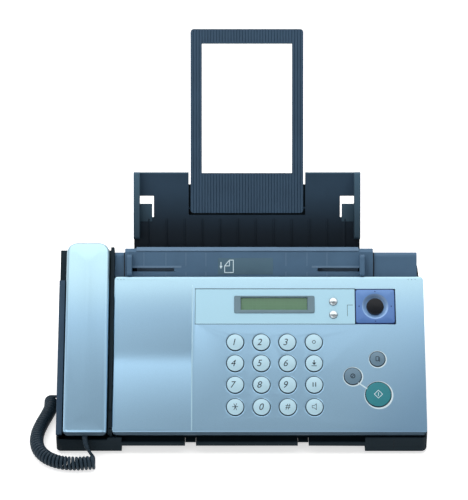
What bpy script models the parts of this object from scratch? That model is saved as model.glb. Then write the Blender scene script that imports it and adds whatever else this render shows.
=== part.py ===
"""A fax machine with a corded handset, modelled as separate pieces in metres, +Z up.

The machine frame has +X to the user's right, +Y to the back and its zero on the table, at the front
of the base. The sloped panel and the leaning paper tray each have an empty on their own axis, and
their pieces are modelled in that empty's frame: x, the distance up the slope, the height above it.
"""
import math

import bmesh
import bpy
import numpy as np
from mathutils import Vector

# Base casing
BODY_WIDTH = 0.375
BODY_DEPTH = 0.205
BODY_CORNER = 0.006
FOOT_HEIGHT = 0.003
FOOT_RADIUS = 0.009
FOOT_TAPER = 0.0008
FOOT_INSET = 0.018
FOOT_SEGMENTS = 16
WALL = 0.0025
PARTING_HEIGHT = 0.100
BLOCK_LEFT = -0.121
BLOCK_RIGHT = 0.125
LEFT_BLOCK_TOP = 0.0165
TOE_ROOM = 0.011
ARCH_DEPTH = 0.060
ARCH_HEIGHT = 0.0094
BAR_TOP = 0.0137
BAR_NOTCH_WIDTH = 0.011
BAR_NOTCH_PLACES = (-0.0515, 0.0625)
BAR_NOTCH_DEPTH = 0.014
FIT_GAP = 0.0003
SWING_GAP = 0.0005
SLIDE_GAP = 0.0004

# Sockets for cords that plug in
POWER_INLET_WIDTH = 0.020
POWER_INLET_HEIGHT = 0.010
POWER_INLET_X = 0.120
LINE_JACK_SIDE = 0.012
LINE_JACK_X = -0.090
SOCKET_HEIGHT = 0.030

# Sloped control panel, hinged on its rounded front edge
PANEL_SLOPE = math.radians(40.0)
PANEL_AXIS_Y = 0.0056
PANEL_AXIS_Z = 0.0235
PANEL_NOSE = 0.004
PANEL_LENGTH = 0.168
PANEL_LEFT = -0.1305
PANEL_THICKNESS = 0.0026
PANEL_SKIRT = 0.014
PANEL_TOP_EDGE = 0.004
PANEL_CORNER = 0.005
PANEL_TOP_FILLET = 0.0025
SCOOP_RIGHT = -0.0505
SCOOP_TOP = 0.014
SCOOP_VALLEY = 0.0866
SCOOP_BOTTOM = 0.160
SCOOP_DEPTH = 0.005
SCOOP_STEPS = 6
HINGE_PEG_RADIUS = 0.0013
HINGE_PEG_LENGTH = 0.004
HINGE_LUG_RADIUS = 0.0026
HINGE_LUG_ROOM = 0.0004

# Display and navigation pad, places as distances from the panel's top edge
DISPLAY_LEFT = -0.0474
DISPLAY_RIGHT = 0.1165
DISPLAY_TOP = 0.014
DISPLAY_BOTTOM = 0.052
DISPLAY_RECESS = 0.0012
DISPLAY_CORNER = 0.001
BEZEL_LEFT = -0.0072
BEZEL_RIGHT = 0.075
BEZEL_TOP = 0.0218
BEZEL_BOTTOM = 0.040
BEZEL_PROUD = 0.0008
BEZEL_CORNER = 0.0015
WINDOW_LEFT = -0.0003
WINDOW_RIGHT = 0.0676
WINDOW_TOP = 0.0233
WINDOW_BOTTOM = 0.0365
WINDOW_SUNK = 0.0012
NAV_WIDTH = 0.0405
NAV_GAP = 0.0006
NAV_PROUD = 0.0006
NAV_CORNER = 0.002
NAV_DISH_RADIUS = 0.0135
NAV_DISH_DEPTH = 0.0012
NAV_BUTTON_RADIUS = 0.0086
NAV_BUTTON_PROUD = 0.0010
NAV_BUTTON_HEIGHT = 0.0024
NAV_FLOOR = 0.0020
NAV_BASE = -0.0005
NAV_SEGMENTS = 24
GIMBAL_RADIUS = 0.0095
GIMBAL_BORE = 0.0060
GIMBAL_TOP = -0.0012
GIMBAL_HEIGHT = 0.0020

# Round keys
KEY_RADIUS = 0.0084
KEY_RECESS = 0.0102
KEY_RECESS_DEPTH = 0.0008
KEY_PROUD = 0.0012
KEY_CROWN = 0.0006
KEY_EDGE = 0.0005
KEY_FLANGE = 0.0012
KEY_FLANGE_HEIGHT = 0.0012
KEY_COLUMNS = (-0.0063, 0.0204, 0.0470, 0.0740)
KEY_ROWS = (0.0715, 0.0938, 0.1165, 0.1398)
SMALL_KEY_RADIUS = 0.0040
SMALL_KEY_X = 0.0944
SMALL_KEY_PLACES = (0.0278, 0.0418)
COPY_KEY_RADIUS = 0.0075
COPY_KEY_PLACE = (0.1386, 0.0893)
STOP_KEY_RADIUS = 0.0085
STOP_KEY_PLACE = (0.1132, 0.1075)
START_KEY_RADIUS = 0.0127
START_KEY_PLACE = (0.1388, 0.1266)
KEY_SEGMENTS = 20
BOARD_TOP = -0.0022
BOARD_THICKNESS = 0.0016
BOARD_LEFT = -0.030
BOARD_RIGHT = 0.165
BOARD_MARGIN = 0.012
BOARD_POST_RADIUS = 0.0025

# Handset and its cradle, in the panel's frame
HANDSET_X = -0.158
HANDSET_WIDTH = 0.044
HANDSET_FRONT = -0.0052
HANDSET_LENGTH = 0.2041
HANDSET_TOP = 0.012
HANDSET_SPLIT = 0.004
HANDSET_BOTTOM = -0.008
HANDSET_GRIP_BOTTOM = -0.001
HANDSET_CUP_LENGTH = 0.050
HANDSET_CUP_SLOPE = 0.008
HANDSET_STEP = 0.0006
HANDSET_TOE = 0.009
HANDSET_TOE_HEIGHT = 0.0004
HANDSET_HEEL = 0.004
HANDSET_FRONT_CORNER = 0.005
HANDSET_REAR_CORNER = 0.011
HANDSET_EDGE = 0.003
HANDSET_EDGE_SHARE = 0.3
HANDSET_SIDE_GAP = 0.0012
CRADLE_TOP = 0.002
CRADLE_LIP = -0.002
CRADLE_REAR = 0.196
CRADLE_RIM_END = 0.160
CRADLE_FRONT = -0.0035
CRADLE_RIGHT = -0.1312
REST_PAD_LENGTH = 0.026
REST_PAD_WIDTH = 0.0028
REST_PAD_HEIGHT = 0.0015
REST_PAD_FROM_TOP = 0.116
HOOK_RADIUS = 0.003
HOOK_PLACE = 0.095
HOOK_TRAVEL = 0.0025
HOOK_FLANGE = 0.0012

# Rear cover, document table and hopper, as points of the side view
TABLE_BEHIND_PANEL = 0.0073
TABLE_BELOW_PANEL = 0.0100
TABLE_RUN = 0.016
TABLE_RISE = 0.025
TABLE_LEFT = -0.1205
TABLE_RIGHT = 0.1366
LIP_LEFT = -0.1086
LIP_RIGHT = 0.1216
LIP_DEPTH = 0.007
LIP_HEIGHT = 0.0012
COVER_LEFT_INSET = 0.0032
COVER_RIGHT_INSET = 0.0055
COVER_RIDGE_BACK = 0.0015
COVER_RIDGE_DROP = 0.0008
COVER_BACK_INSET = 0.004
COVER_BACK_RISE = 0.008
COVER_FILLET = 0.005
COVER_SWING_ROOM = 0.0015
SLOT_WIDTH = 0.0036
SLOT_HEIGHT = 0.011
GUIDE_THICKNESS = 0.0048
GUIDE_FROM_FOOT = 0.004
GUIDE_LENGTH = 0.0225
GUIDE_REACH = 0.012
GUIDE_CORNER = 0.004
GUIDE_LEFT_X = -0.1178
GUIDE_RIGHT_X = 0.1272
GUIDE_TRAVEL = 0.043
RACK_WIDTH = 0.0030
RACK_DEPTH = 0.0022
PINION_X = 0.0047
PINION_RADIUS = 0.0040
PINION_TEETH = 12
PINION_TOOTH = 0.0012
PINION_POST = 0.0015
PINION_POST_LENGTH = 0.0030

# Leaning paper tray and its extension, in the tray's frame
TRAY_LEAN = math.radians(30.0)
TRAY_BEHIND_TABLE = 0.028
TRAY_ABOVE_TABLE = 0.001
TRAY_CENTRE = 0.006
TRAY_WIDTH = 0.236
TRAY_THICKNESS = 0.003
TRAY_TOP = 0.0678
TRAY_BOTTOM = -0.092
TRAY_CORNER = 0.003
TRAY_WALL = 0.0062
TRAY_WALL_REACH = 0.014
TRAY_WALL_FOOT = -0.002
TRAY_RIB_WIDTH = 0.0012
TRAY_RIB_HEIGHT = 0.0012
TRAY_RIB_TOP = 0.019
TRAY_RIB_FOOT = -0.068
TRAY_RIB_COUNT = 12
TRAY_WINDOW_WIDTH = 0.0145
TRAY_WINDOW_TOP = 0.043
TRAY_WINDOW_BOTTOM = 0.021
TRAY_TAB_WIDTH = 0.0115
TRAY_TAB_TOP = 0.035
HOPPER_GAP = 0.010
HOPPER_WALL = 0.0025
HOPPER_TOP = -0.0130
HOPPER_BOTTOM = -0.066
EXTENSION_WIDTH = 0.1178
EXTENSION_FOOT = 0.0252
EXTENSION_TOP = 0.2172
EXTENSION_THICKNESS = 0.004
EXTENSION_BAR = 0.0152
EXTENSION_SIDE = 0.0118
EXTENSION_WINDOW_FOOT = 0.067
EXTENSION_CORNER = 0.0035
EXTENSION_AXIS = 0.0305
EXTENSION_AXIS_DEPTH = -0.0015
EXTENSION_NOTCH_GAP = 0.002
PIVOT_PEG_RADIUS = 0.0012
PIVOT_PEG_LENGTH = 0.006

# Inside: rollers, print carriage and boards
CHASSIS_LEFT = -0.1150
CHASSIS_RIGHT = 0.1300
CHASSIS_SHEET = 0.0012
CHASSIS_FRONT = 0.034
CHASSIS_BEHIND_TABLE = 0.004
CHASSIS_TOP = -0.0065
CHASSIS_BELOW_TABLE = 0.010
CHASSIS_FLOOR = 0.0150
FEED_ROLLER_RADIUS = 0.010
FEED_ROLLER_ALONG = -0.082
FEED_SHAFT_RADIUS = 0.003
DOCUMENT_ROLLER_RADIUS = 0.007
DOCUMENT_ROLLER_AHEAD = 0.0135
DOCUMENT_ROLLER_BELOW = 0.0205
ROLLER_LEFT = -0.100
ROLLER_RIGHT = 0.112
ROLLER_SEGMENTS = 20
SHAFT_SEGMENTS = 12
ROD_SEGMENTS = 16
ROD_Y = 0.074
ROD_Z = 0.040
ROD_RADIUS = 0.004
CARRIAGE_WIDTH = 0.040
CARRIAGE_REST = -0.085
CARRIAGE_FRONT = 0.050
CARRIAGE_REAR = 0.086
CARRIAGE_FOOT = 0.024
CARRIAGE_HEIGHT = 0.026
CARRIAGE_WALL = 0.002
CARTRIDGE_HEIGHT = 0.019
MOTOR_RADIUS = 0.016
MOTOR_LENGTH = 0.024
MOTOR_Y = 0.105
MAIN_BOARD_FOOT = 0.0100
MAIN_BOARD_LEFT = -0.105
MAIN_BOARD_RIGHT = 0.020
MAIN_BOARD_DEPTH = 0.046
MAIN_BOARD_BACK_GAP = 0.009
MAIN_BOARD_INSET = 0.006
POST_RADIUS = 0.003
SUPPLY_WIDTH = 0.110
SUPPLY_DEPTH = 0.040
SUPPLY_HEIGHT = 0.034
SUPPLY_SIDE_GAP = 0.0375

# Curly handset cord, lying on the table
CORD_DIAMETER = 0.0026
CURL_RADIUS = 0.0055
CURL_PITCH = 0.0038
CURL_POINTS = 8
CURL_ROUTE = (
    (-0.1480, -0.0250), (-0.1640, -0.0268), (-0.1800, -0.0252), (-0.1935, -0.0183),
    (-0.2030, -0.0065), (-0.2075, 0.0080), (-0.2078, 0.0240), (-0.2050, 0.0400),
    (-0.2010, 0.0550), (-0.1978, 0.0690), (-0.1978, 0.0830),
)
LEAD_STEP = 0.0055
LEAD_ROUTE = (
    (-0.1560, -0.0075, 0.0138), (-0.1522, -0.0110, 0.0085), (-0.1490, -0.0135, 0.0045),
)
CORD_EXIT_HEIGHT = 0.0020
GAP_SAMPLES = 2400
JACK_COLLAR = 0.0035
JACK_COLLAR_LENGTH = 0.002

# Finishes: colour, roughness, metallic
FINISHES = {
    "silver_plastic": ((0.36, 0.53, 0.66), 0.35, 0.2),
    "grey_blue_plastic": ((0.075, 0.115, 0.17), 0.5, 0.0),
    "dark_plastic": ((0.018, 0.028, 0.038), 0.5, 0.0),
    "tray_plastic": ((0.04, 0.065, 0.09), 0.5, 0.0),
    "extension_plastic": ((0.04, 0.073, 0.117), 0.5, 0.0),
    "display_blue": ((0.40, 0.67, 0.78), 0.35, 0.0),
    "bezel_grey": ((0.15, 0.25, 0.27), 0.45, 0.0),
    "lcd_glass": ((0.08, 0.15, 0.10), 0.15, 0.0),
    "nav_blue": ((0.09, 0.21, 0.49), 0.35, 0.0),
    "button_black": ((0.008, 0.010, 0.014), 0.3, 0.0),
    "key_pale": ((0.45, 0.66, 0.79), 0.4, 0.0),
    "key_grey": ((0.14, 0.19, 0.21), 0.4, 0.0),
    "key_teal": ((0.06, 0.27, 0.33), 0.35, 0.0),
    "key_chrome": ((0.5, 0.6, 0.65), 0.25, 0.8),
    "rubber_black": ((0.015, 0.015, 0.016), 0.8, 0.0),
    "roller_rubber": ((0.03, 0.03, 0.032), 0.75, 0.0),
    "sheet_steel": ((0.45, 0.47, 0.48), 0.4, 1.0),
    "bright_steel": ((0.6, 0.6, 0.6), 0.2, 1.0),
    "board_green": ((0.02, 0.12, 0.05), 0.5, 0.0),
    "cord_grey": ((0.03, 0.045, 0.06), 0.5, 0.0),
    "white_nylon": ((0.7, 0.7, 0.68), 0.5, 0.0),
}

# Values worked out from the sizes above
BODY_SIDE = BODY_WIDTH / 2
PANEL_RIGHT = BODY_SIDE
PANEL_REAR = PANEL_LENGTH - PANEL_NOSE
PANEL_UNDERSIDE = PANEL_NOSE - PANEL_THICKNESS
PANEL_SKIRT_FOOT = PANEL_NOSE - PANEL_SKIRT
PANEL_END_Y = PANEL_AXIS_Y + PANEL_REAR * math.cos(PANEL_SLOPE) - PANEL_NOSE * math.sin(PANEL_SLOPE)
PANEL_END_Z = PANEL_AXIS_Z + PANEL_REAR * math.sin(PANEL_SLOPE) + PANEL_NOSE * math.cos(PANEL_SLOPE)
TABLE_FOOT_Y = PANEL_END_Y + TABLE_BEHIND_PANEL
TABLE_FOOT_Z = PANEL_END_Z - TABLE_BELOW_PANEL
TABLE_TOP_Y = TABLE_FOOT_Y + TABLE_RUN
TABLE_TOP_Z = TABLE_FOOT_Z + TABLE_RISE
TABLE_LENGTH = math.hypot(TABLE_RUN, TABLE_RISE)
TABLE_SLOPE = math.atan2(TABLE_RISE, TABLE_RUN)
COVER_LEFT = COVER_LEFT_INSET - BODY_SIDE
COVER_RIGHT = BODY_SIDE - COVER_RIGHT_INSET
COVER_RIDGE_Y = TABLE_TOP_Y + COVER_RIDGE_BACK
COVER_RIDGE_Z = TABLE_TOP_Z - COVER_RIDGE_DROP
COVER_BACK_Y = BODY_DEPTH - COVER_BACK_INSET
COVER_BACK_Z = PARTING_HEIGHT + COVER_BACK_RISE
TRAY_Y = TABLE_TOP_Y + TRAY_BEHIND_TABLE
TRAY_Z = TABLE_TOP_Z + TRAY_ABOVE_TABLE
CHASSIS_REAR = TABLE_FOOT_Y + CHASSIS_BEHIND_TABLE
CHASSIS_CROWN = TABLE_FOOT_Z - CHASSIS_BELOW_TABLE
DOCUMENT_ROLLER_Y = TABLE_FOOT_Y - DOCUMENT_ROLLER_AHEAD
DOCUMENT_ROLLER_Z = TABLE_FOOT_Z - DOCUMENT_ROLLER_BELOW
MOTOR_X = (CHASSIS_RIGHT + BODY_SIDE - WALL) / 2
MAIN_BOARD_REAR = BODY_DEPTH - MAIN_BOARD_BACK_GAP
MAIN_BOARD_FRONT = MAIN_BOARD_REAR - MAIN_BOARD_DEPTH
SUPPLY_RIGHT = BODY_SIDE - SUPPLY_SIDE_GAP
SEAT_LINE = PANEL_SKIRT_FOOT - SWING_GAP
TRAY_LEFT = TRAY_CENTRE - TRAY_WIDTH / 2
TRAY_RIGHT = TRAY_CENTRE + TRAY_WIDTH / 2
NAV_RIGHT = DISPLAY_RIGHT + NAV_GAP + NAV_WIDTH
CORD_RADIUS = CORD_DIAMETER / 2
BASE_JACK_Y = CURL_ROUTE[-1][1]
BASE_JACK_Z = CORD_RADIUS + 2 * CURL_RADIUS


def panel_point(along, height):
    """Side-view place (y, z) of a point given along the panel's slope and above its axis."""
    cosine = math.cos(PANEL_SLOPE)
    sine = math.sin(PANEL_SLOPE)
    return (PANEL_AXIS_Y + along * cosine - height * sine, PANEL_AXIS_Z + along * sine + height * cosine)


def tray_point(along, height):
    """Side-view place (y, z) of a point given up the tray's lean and in front of its face."""
    cosine = math.cos(TRAY_LEAN)
    sine = math.sin(TRAY_LEAN)
    return (TRAY_Y + along * sine - height * cosine, TRAY_Z + along * cosine + height * sine)


def from_panel_top(distance):
    """Place along the panel's slope of a point given by its distance from the panel's top edge."""
    return PANEL_REAR - distance


def clear_scene():
    """Remove whatever the open file holds."""
    for thing in list(bpy.data.objects):
        bpy.data.objects.remove(thing, do_unlink=True)


def finish_material(name):
    """The material of a finish, made once."""
    found = bpy.data.materials.get(name)
    if found:
        return found
    colour, roughness, metallic = FINISHES[name]
    made = bpy.data.materials.new(name)
    made.use_nodes = True
    shader = made.node_tree.nodes["Principled BSDF"]
    shader.inputs["Base Color"].default_value = (*colour, 1.0)
    shader.inputs["Roughness"].default_value = roughness
    shader.inputs["Metallic"].default_value = metallic
    return made


def finished(shape):
    """Turn the faces of a bmesh outwards and hand it back as a mesh."""
    bmesh.ops.recalc_face_normals(shape, faces=shape.faces)
    mesh = bpy.data.meshes.new("shape")
    shape.to_mesh(mesh)
    shape.free()
    return mesh


def placed(axis, first, second, along):
    """A point from its two outline coordinates and its place along an axis."""
    if axis == "x":
        return (along, first, second)
    if axis == "y":
        return (first, along, second)
    return (first, second, along)


def lofted(rings):
    """A closed solid through rings of equal point counts, with flat ends."""
    shape = bmesh.new()
    loops = [[shape.verts.new(point) for point in ring] for ring in rings]
    shape.faces.new(loops[0])
    shape.faces.new(loops[-1])
    count = len(loops[0])
    for lower, upper in zip(loops, loops[1:]):
        for index in range(count):
            following = (index + 1) % count
            shape.faces.new((lower[index], lower[following], upper[following], upper[index]))
    return finished(shape)


def prism(outline, start, end, axis="x"):
    """An outline across an axis, extruded along it."""
    rings = [[placed(axis, first, second, along) for first, second in outline] for along in (start, end)]
    return lofted(rings)


def box(low, high):
    """A block between two opposite corners."""
    outline = [(low[1], low[2]), (high[1], low[2]), (high[1], high[2]), (low[1], high[2])]
    return prism(outline, low[0], high[0])


def turned(profile, centre=(0.0, 0.0, 0.0), axis="z", segments=KEY_SEGMENTS):
    """A profile of (radius, place along the axis), turned round an axis through the centre.

    A profile that starts and ends on the axis is a solid, any other is closed into a ring.
    """
    shape = bmesh.new()
    rings = []
    for radius, along in profile:
        angles = [2 * math.pi * step / segments for step in range(segments if radius else 1)]
        points = [placed(axis, radius * math.cos(angle), radius * math.sin(angle), along) for angle in angles]
        rings.append([shape.verts.new(Vector(centre) + Vector(point)) for point in points])
    pairs = list(zip(rings, rings[1:]))
    if profile[0][0]:
        pairs.append((rings[-1], rings[0]))
    for lower, upper in pairs:
        for step in range(segments):
            following = step + 1
            corners = [lower[step % len(lower)], lower[following % len(lower)]]
            corners += [upper[following % len(upper)], upper[step % len(upper)]]
            shape.faces.new(list(dict.fromkeys(corners)))
    return finished(shape)


def cylinder(radius, start, end, centre=(0.0, 0.0, 0.0), axis="z", segments=KEY_SEGMENTS):
    """A round bar between two places along an axis."""
    return turned([(0, start), (radius, start), (radius, end), (0, end)], centre, axis, segments)


def filleted(corners, steps=4):
    """An outline whose corners, given as (u, v, radius), are rounded by arcs."""
    outline = []
    for index, (first, second, radius) in enumerate(corners):
        here = Vector((first, second))
        if not radius:
            outline.append((first, second))
            continue
        back = (Vector(corners[index - 1][:2]) - here).normalized()
        ahead = (Vector(corners[(index + 1) % len(corners)][:2]) - here).normalized()
        half = back.angle(ahead) / 2
        centre = here + (back + ahead).normalized() * radius / math.sin(half)
        start = here + back * radius / math.tan(half) - centre
        end = here + ahead * radius / math.tan(half) - centre
        sweep = math.pi - 2 * half
        for step in range(steps + 1):
            share = step / steps
            arm = start * math.sin((1 - share) * sweep) + end * math.sin(share * sweep)
            outline.append(tuple(centre + arm / math.sin(sweep)))
    return outline


def rounded_rectangle(left, right, low, high, radius, steps=4):
    """A rectangle with four round corners."""
    corners = [(left, low, radius), (right, low, radius), (right, high, radius), (left, high, radius)]
    return filleted(corners, steps)


def boolean(first, second, operation):
    """The mesh left when the second mesh is cut from, joined to or crossed with the first."""
    kept = bpy.data.objects.new("kept", first)
    tool = bpy.data.objects.new("tool", second)
    for thing in (kept, tool):
        bpy.context.collection.objects.link(thing)
    change = kept.modifiers.new("change", "BOOLEAN")
    change.operation = operation
    change.solver = "EXACT"
    change.object = tool
    graph = bpy.context.evaluated_depsgraph_get()
    graph.update()
    result = bpy.data.meshes.new_from_object(kept.evaluated_get(graph))
    bpy.data.objects.remove(kept)
    bpy.data.objects.remove(tool)
    return result


def cut(mesh, *tools):
    """Cut each tool from a mesh."""
    for tool in tools:
        mesh = boolean(mesh, tool, "DIFFERENCE")
    return mesh


def fuse(mesh, *others):
    """Join each other mesh to the first, as one body."""
    for other in others:
        mesh = boolean(mesh, other, "UNION")
    return mesh


def cross(mesh, other):
    """Keep what two meshes share."""
    return boolean(mesh, other, "INTERSECT")


def gathered(meshes):
    """Separate bodies in one mesh, to cut many holes at once."""
    shape = bmesh.new()
    for mesh in meshes:
        shape.from_mesh(mesh)
    return finished(shape)


def add_empty(name, parent, location, turn=0.0):
    """An empty on a joint's axis or a slope's corner, turned round X."""
    empty = bpy.data.objects.new(name, None)
    empty.location = location
    empty.rotation_euler = (turn, 0.0, 0.0)
    empty.parent = parent
    bpy.context.collection.objects.link(empty)
    return empty


def add_part(name, mesh, finish, parent, origin=(0.0, 0.0, 0.0)):
    """Show a mesh modelled in its parent's frame as a named piece, with its own origin there."""
    for vertex in mesh.vertices:
        vertex.co -= Vector(origin)
    mesh.materials.clear()
    mesh.materials.append(finish_material(finish))
    mesh.shade_smooth()
    mesh.set_sharp_from_angle(angle=math.radians(30.0))
    mesh.name = name
    part = bpy.data.objects.new(name, mesh)
    part.location = origin
    part.parent = parent
    bpy.context.collection.objects.link(part)
    return part


def seat_outline():
    """Side view of the base: front block, the seat below the panel's skirt, the parting line."""
    block_top = PANEL_AXIS_Z - PANEL_NOSE - SWING_GAP
    cosine = math.cos(PANEL_SLOPE)
    sine = math.sin(PANEL_SLOPE)
    skirt_height = (block_top - PANEL_AXIS_Z + SWING_GAP * sine) / cosine
    parting_along = (PARTING_HEIGHT - PANEL_AXIS_Z - SEAT_LINE * cosine) / sine
    return [
        (0.0, FOOT_HEIGHT),
        (0.0, block_top),
        panel_point(-SWING_GAP, skirt_height),
        panel_point(-SWING_GAP, SEAT_LINE),
        panel_point(parting_along, SEAT_LINE),
        (BODY_DEPTH, PARTING_HEIGHT),
        (BODY_DEPTH, FOOT_HEIGHT),
    ]


def hinge_lug(left, right):
    """A rounded post up to the panel's axis."""
    reach = HINGE_LUG_RADIUS
    foot = FOOT_HEIGHT + WALL / 2
    steps = [math.pi * step / 8 for step in range(9)]
    top = [(PANEL_AXIS_Y + reach * math.cos(a), PANEL_AXIS_Z + reach * math.sin(a)) for a in steps]
    outline = [(PANEL_AXIS_Y - reach, foot), (PANEL_AXIS_Y + reach, foot)] + top
    return prism(outline, left, right)


def hinge_peg(start, end, radius):
    """A round peg on the panel's axis."""
    return cylinder(radius, start, end, (0.0, PANEL_AXIS_Y, PANEL_AXIS_Z), "x", SHAFT_SEGMENTS)


def socket_hole(x, width, height):
    """The cutter of a socket in the back wall of the base."""
    return box((x - width / 2, BODY_DEPTH - 2 * WALL, SOCKET_HEIGHT - height / 2),
               (x + width / 2, 2 * BODY_DEPTH, SOCKET_HEIGHT + height / 2))


def base_casing(machine):
    """The open tub: floor, side walls, front blocks, arch with its paper bar, sockets, hinge lugs."""
    low = FOOT_HEIGHT + WALL
    beyond = 2 * BODY_DEPTH
    inside = box((-BODY_SIDE + WALL, WALL, low), (BODY_SIDE - WALL, BODY_DEPTH - WALL, beyond))
    tub = cut(prism(seat_outline(), -BODY_SIDE, BODY_SIDE), inside)
    plan = rounded_rectangle(-BODY_SIDE, BODY_SIDE, 0.0, BODY_DEPTH, BODY_CORNER)
    tub = cross(tub, prism(plan, -beyond, beyond, "z"))
    partition = prism(seat_outline(), PANEL_LEFT - WALL, PANEL_LEFT + WALL)
    spare = WALL / 2
    raised = box((BLOCK_LEFT - WALL, spare, FOOT_HEIGHT + spare),
                 (BLOCK_RIGHT + WALL, ARCH_DEPTH + WALL, ARCH_HEIGHT + WALL))
    jack = cylinder(JACK_COLLAR, -BODY_SIDE - JACK_COLLAR_LENGTH, -BODY_SIDE + spare,
                    (0.0, BASE_JACK_Y, BASE_JACK_Z), "x", SHAFT_SEGMENTS)
    post_top = MAIN_BOARD_FOOT - FIT_GAP
    posts = [cylinder(POST_RADIUS, FOOT_HEIGHT + spare, post_top, (x, y, 0.0), "z", SHAFT_SEGMENTS)
             for x, y in main_board_corners()]
    tub = fuse(tub, partition, raised, jack, *posts)
    arch = box((BLOCK_LEFT, -beyond, -beyond), (BLOCK_RIGHT, ARCH_DEPTH, ARCH_HEIGHT))
    exit_slot = box((BLOCK_LEFT, -beyond, BAR_TOP), (BLOCK_RIGHT, 2 * WALL, beyond))
    notch = BAR_NOTCH_WIDTH / 2
    notches = [box((x - notch, -beyond, -beyond), (x + notch, BAR_NOTCH_DEPTH, beyond))
               for x in BAR_NOTCH_PLACES]
    handset_toe = box((-beyond, -beyond, LEFT_BLOCK_TOP), (PANEL_LEFT - 2 * WALL, TOE_ROOM, beyond))
    power = socket_hole(POWER_INLET_X, POWER_INLET_WIDTH, POWER_INLET_HEIGHT)
    line = socket_hole(LINE_JACK_X, LINE_JACK_SIDE, LINE_JACK_SIDE)
    tub = cut(tub, arch, exit_slot, handset_toe, power, line, *notches)
    left_end = PANEL_LEFT - FIT_GAP
    right_end = PANEL_RIGHT - WALL
    lugs = [hinge_lug(left_end - WALL, left_end), hinge_lug(right_end, PANEL_RIGHT)]
    pegs = [hinge_peg(left_end - spare, left_end + HINGE_PEG_LENGTH, HINGE_PEG_RADIUS),
            hinge_peg(right_end - HINGE_PEG_LENGTH, right_end + spare, HINGE_PEG_RADIUS)]
    add_part("base_casing", fuse(tub, *lugs, *pegs), "dark_plastic", machine)


def feet(machine):
    """Four turned rubber feet under the corners of the base."""
    near = FOOT_INSET
    far = BODY_DEPTH - FOOT_INSET
    side = BODY_SIDE - FOOT_INSET
    top = FOOT_HEIGHT - FIT_GAP
    profile = [(0, 0.0), (FOOT_RADIUS - FOOT_TAPER, 0.0), (FOOT_RADIUS, top), (0, top)]
    for name, x, y in (("front_left", -side, near), ("front_right", side, near),
                       ("rear_left", -side, far), ("rear_right", side, far)):
        foot = turned(profile, (x, y, 0.0), "z", FOOT_SEGMENTS)
        add_part("foot_" + name, foot, "rubber_black", machine)


def rear_cover(machine):
    """The upper shell behind the panel, open below, with gaps for the hopper and the cradle."""
    sine = math.sin(PANEL_SLOPE)
    foot = PARTING_HEIGHT + FIT_GAP
    foot_along = (foot - PANEL_AXIS_Z - SEAT_LINE * math.cos(PANEL_SLOPE)) / sine
    front = panel_point(PANEL_REAR + COVER_SWING_ROOM, SEAT_LINE)
    start = panel_point(foot_along, SEAT_LINE)
    outer = filleted([
        (*start, 0), (*front, 0), (COVER_RIDGE_Y, COVER_RIDGE_Z, COVER_FILLET),
        (COVER_BACK_Y, COVER_BACK_Z, COVER_FILLET), (BODY_DEPTH, foot, 0),
    ])
    inner = [
        (start[0] + 2 * WALL, foot - WALL), (start[0] + 2 * WALL, foot + WALL / 2),
        (front[0] + WALL / 2, front[1] - WALL), (COVER_RIDGE_Y, COVER_RIDGE_Z - 2 * WALL),
        (COVER_BACK_Y - WALL, COVER_BACK_Z - WALL), (BODY_DEPTH - WALL, foot - WALL),
    ]
    shell = prism(outer, COVER_LEFT, COVER_RIGHT)
    shell = cut(shell, prism(inner, COVER_LEFT + WALL, COVER_RIGHT - WALL))
    back = -TRAY_THICKNESS - SWING_GAP
    hopper = [tray_point(-PARTING_HEIGHT, back), tray_point(PARTING_HEIGHT, back),
              (-BODY_DEPTH, BODY_DEPTH), (-BODY_DEPTH, 0.0)]
    hopper_gap = prism(hopper, TABLE_LEFT - FIT_GAP, TABLE_RIGHT + FIT_GAP)
    end = HANDSET_FRONT + HANDSET_LENGTH + HANDSET_SIDE_GAP
    bay = [panel_point(0.0, SEAT_LINE), panel_point(end, SEAT_LINE),
           panel_point(end, BODY_DEPTH), panel_point(0.0, BODY_DEPTH)]
    cradle_gap = prism(bay, COVER_LEFT - WALL, CRADLE_RIGHT + FIT_GAP)
    add_part("rear_cover", cut(shell, hopper_gap, cradle_gap), "grey_blue_plastic", machine)


def document_table(face):
    """The steep table behind the panel, with its ledge, guide slots and pinion post."""
    plate = box((TABLE_LEFT, 0.0, -WALL), (TABLE_RIGHT, TABLE_LENGTH, 0.0))
    neck = SLOT_WIDTH / 2
    for start in (GUIDE_LEFT_X - SLIDE_GAP, GUIDE_RIGHT_X - GUIDE_THICKNESS - GUIDE_TRAVEL - SLIDE_GAP):
        end = start + GUIDE_THICKNESS + GUIDE_TRAVEL + 2 * SLIDE_GAP
        plate = cut(plate, box((start, SLOT_HEIGHT - neck, -2 * WALL), (end, SLOT_HEIGHT + neck, WALL)))
    post = cylinder(PINION_POST, -WALL - PINION_POST_LENGTH, -WALL / 2, (PINION_X, SLOT_HEIGHT, 0.0),
                    segments=SHAFT_SEGMENTS)
    back = (TABLE_LENGTH + LIP_DEPTH * math.cos(TABLE_SLOPE), -LIP_DEPTH * math.sin(TABLE_SLOPE))
    step = WALL / math.sin(TABLE_SLOPE)
    ledge = [(TABLE_LENGTH, 0.0), (TABLE_LENGTH - step, 0.0), (back[0] - step, back[1]), back]
    table = fuse(plate, post, prism(ledge, TABLE_LEFT, TABLE_RIGHT))
    add_part("document_table", table, "grey_blue_plastic", face)


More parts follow.
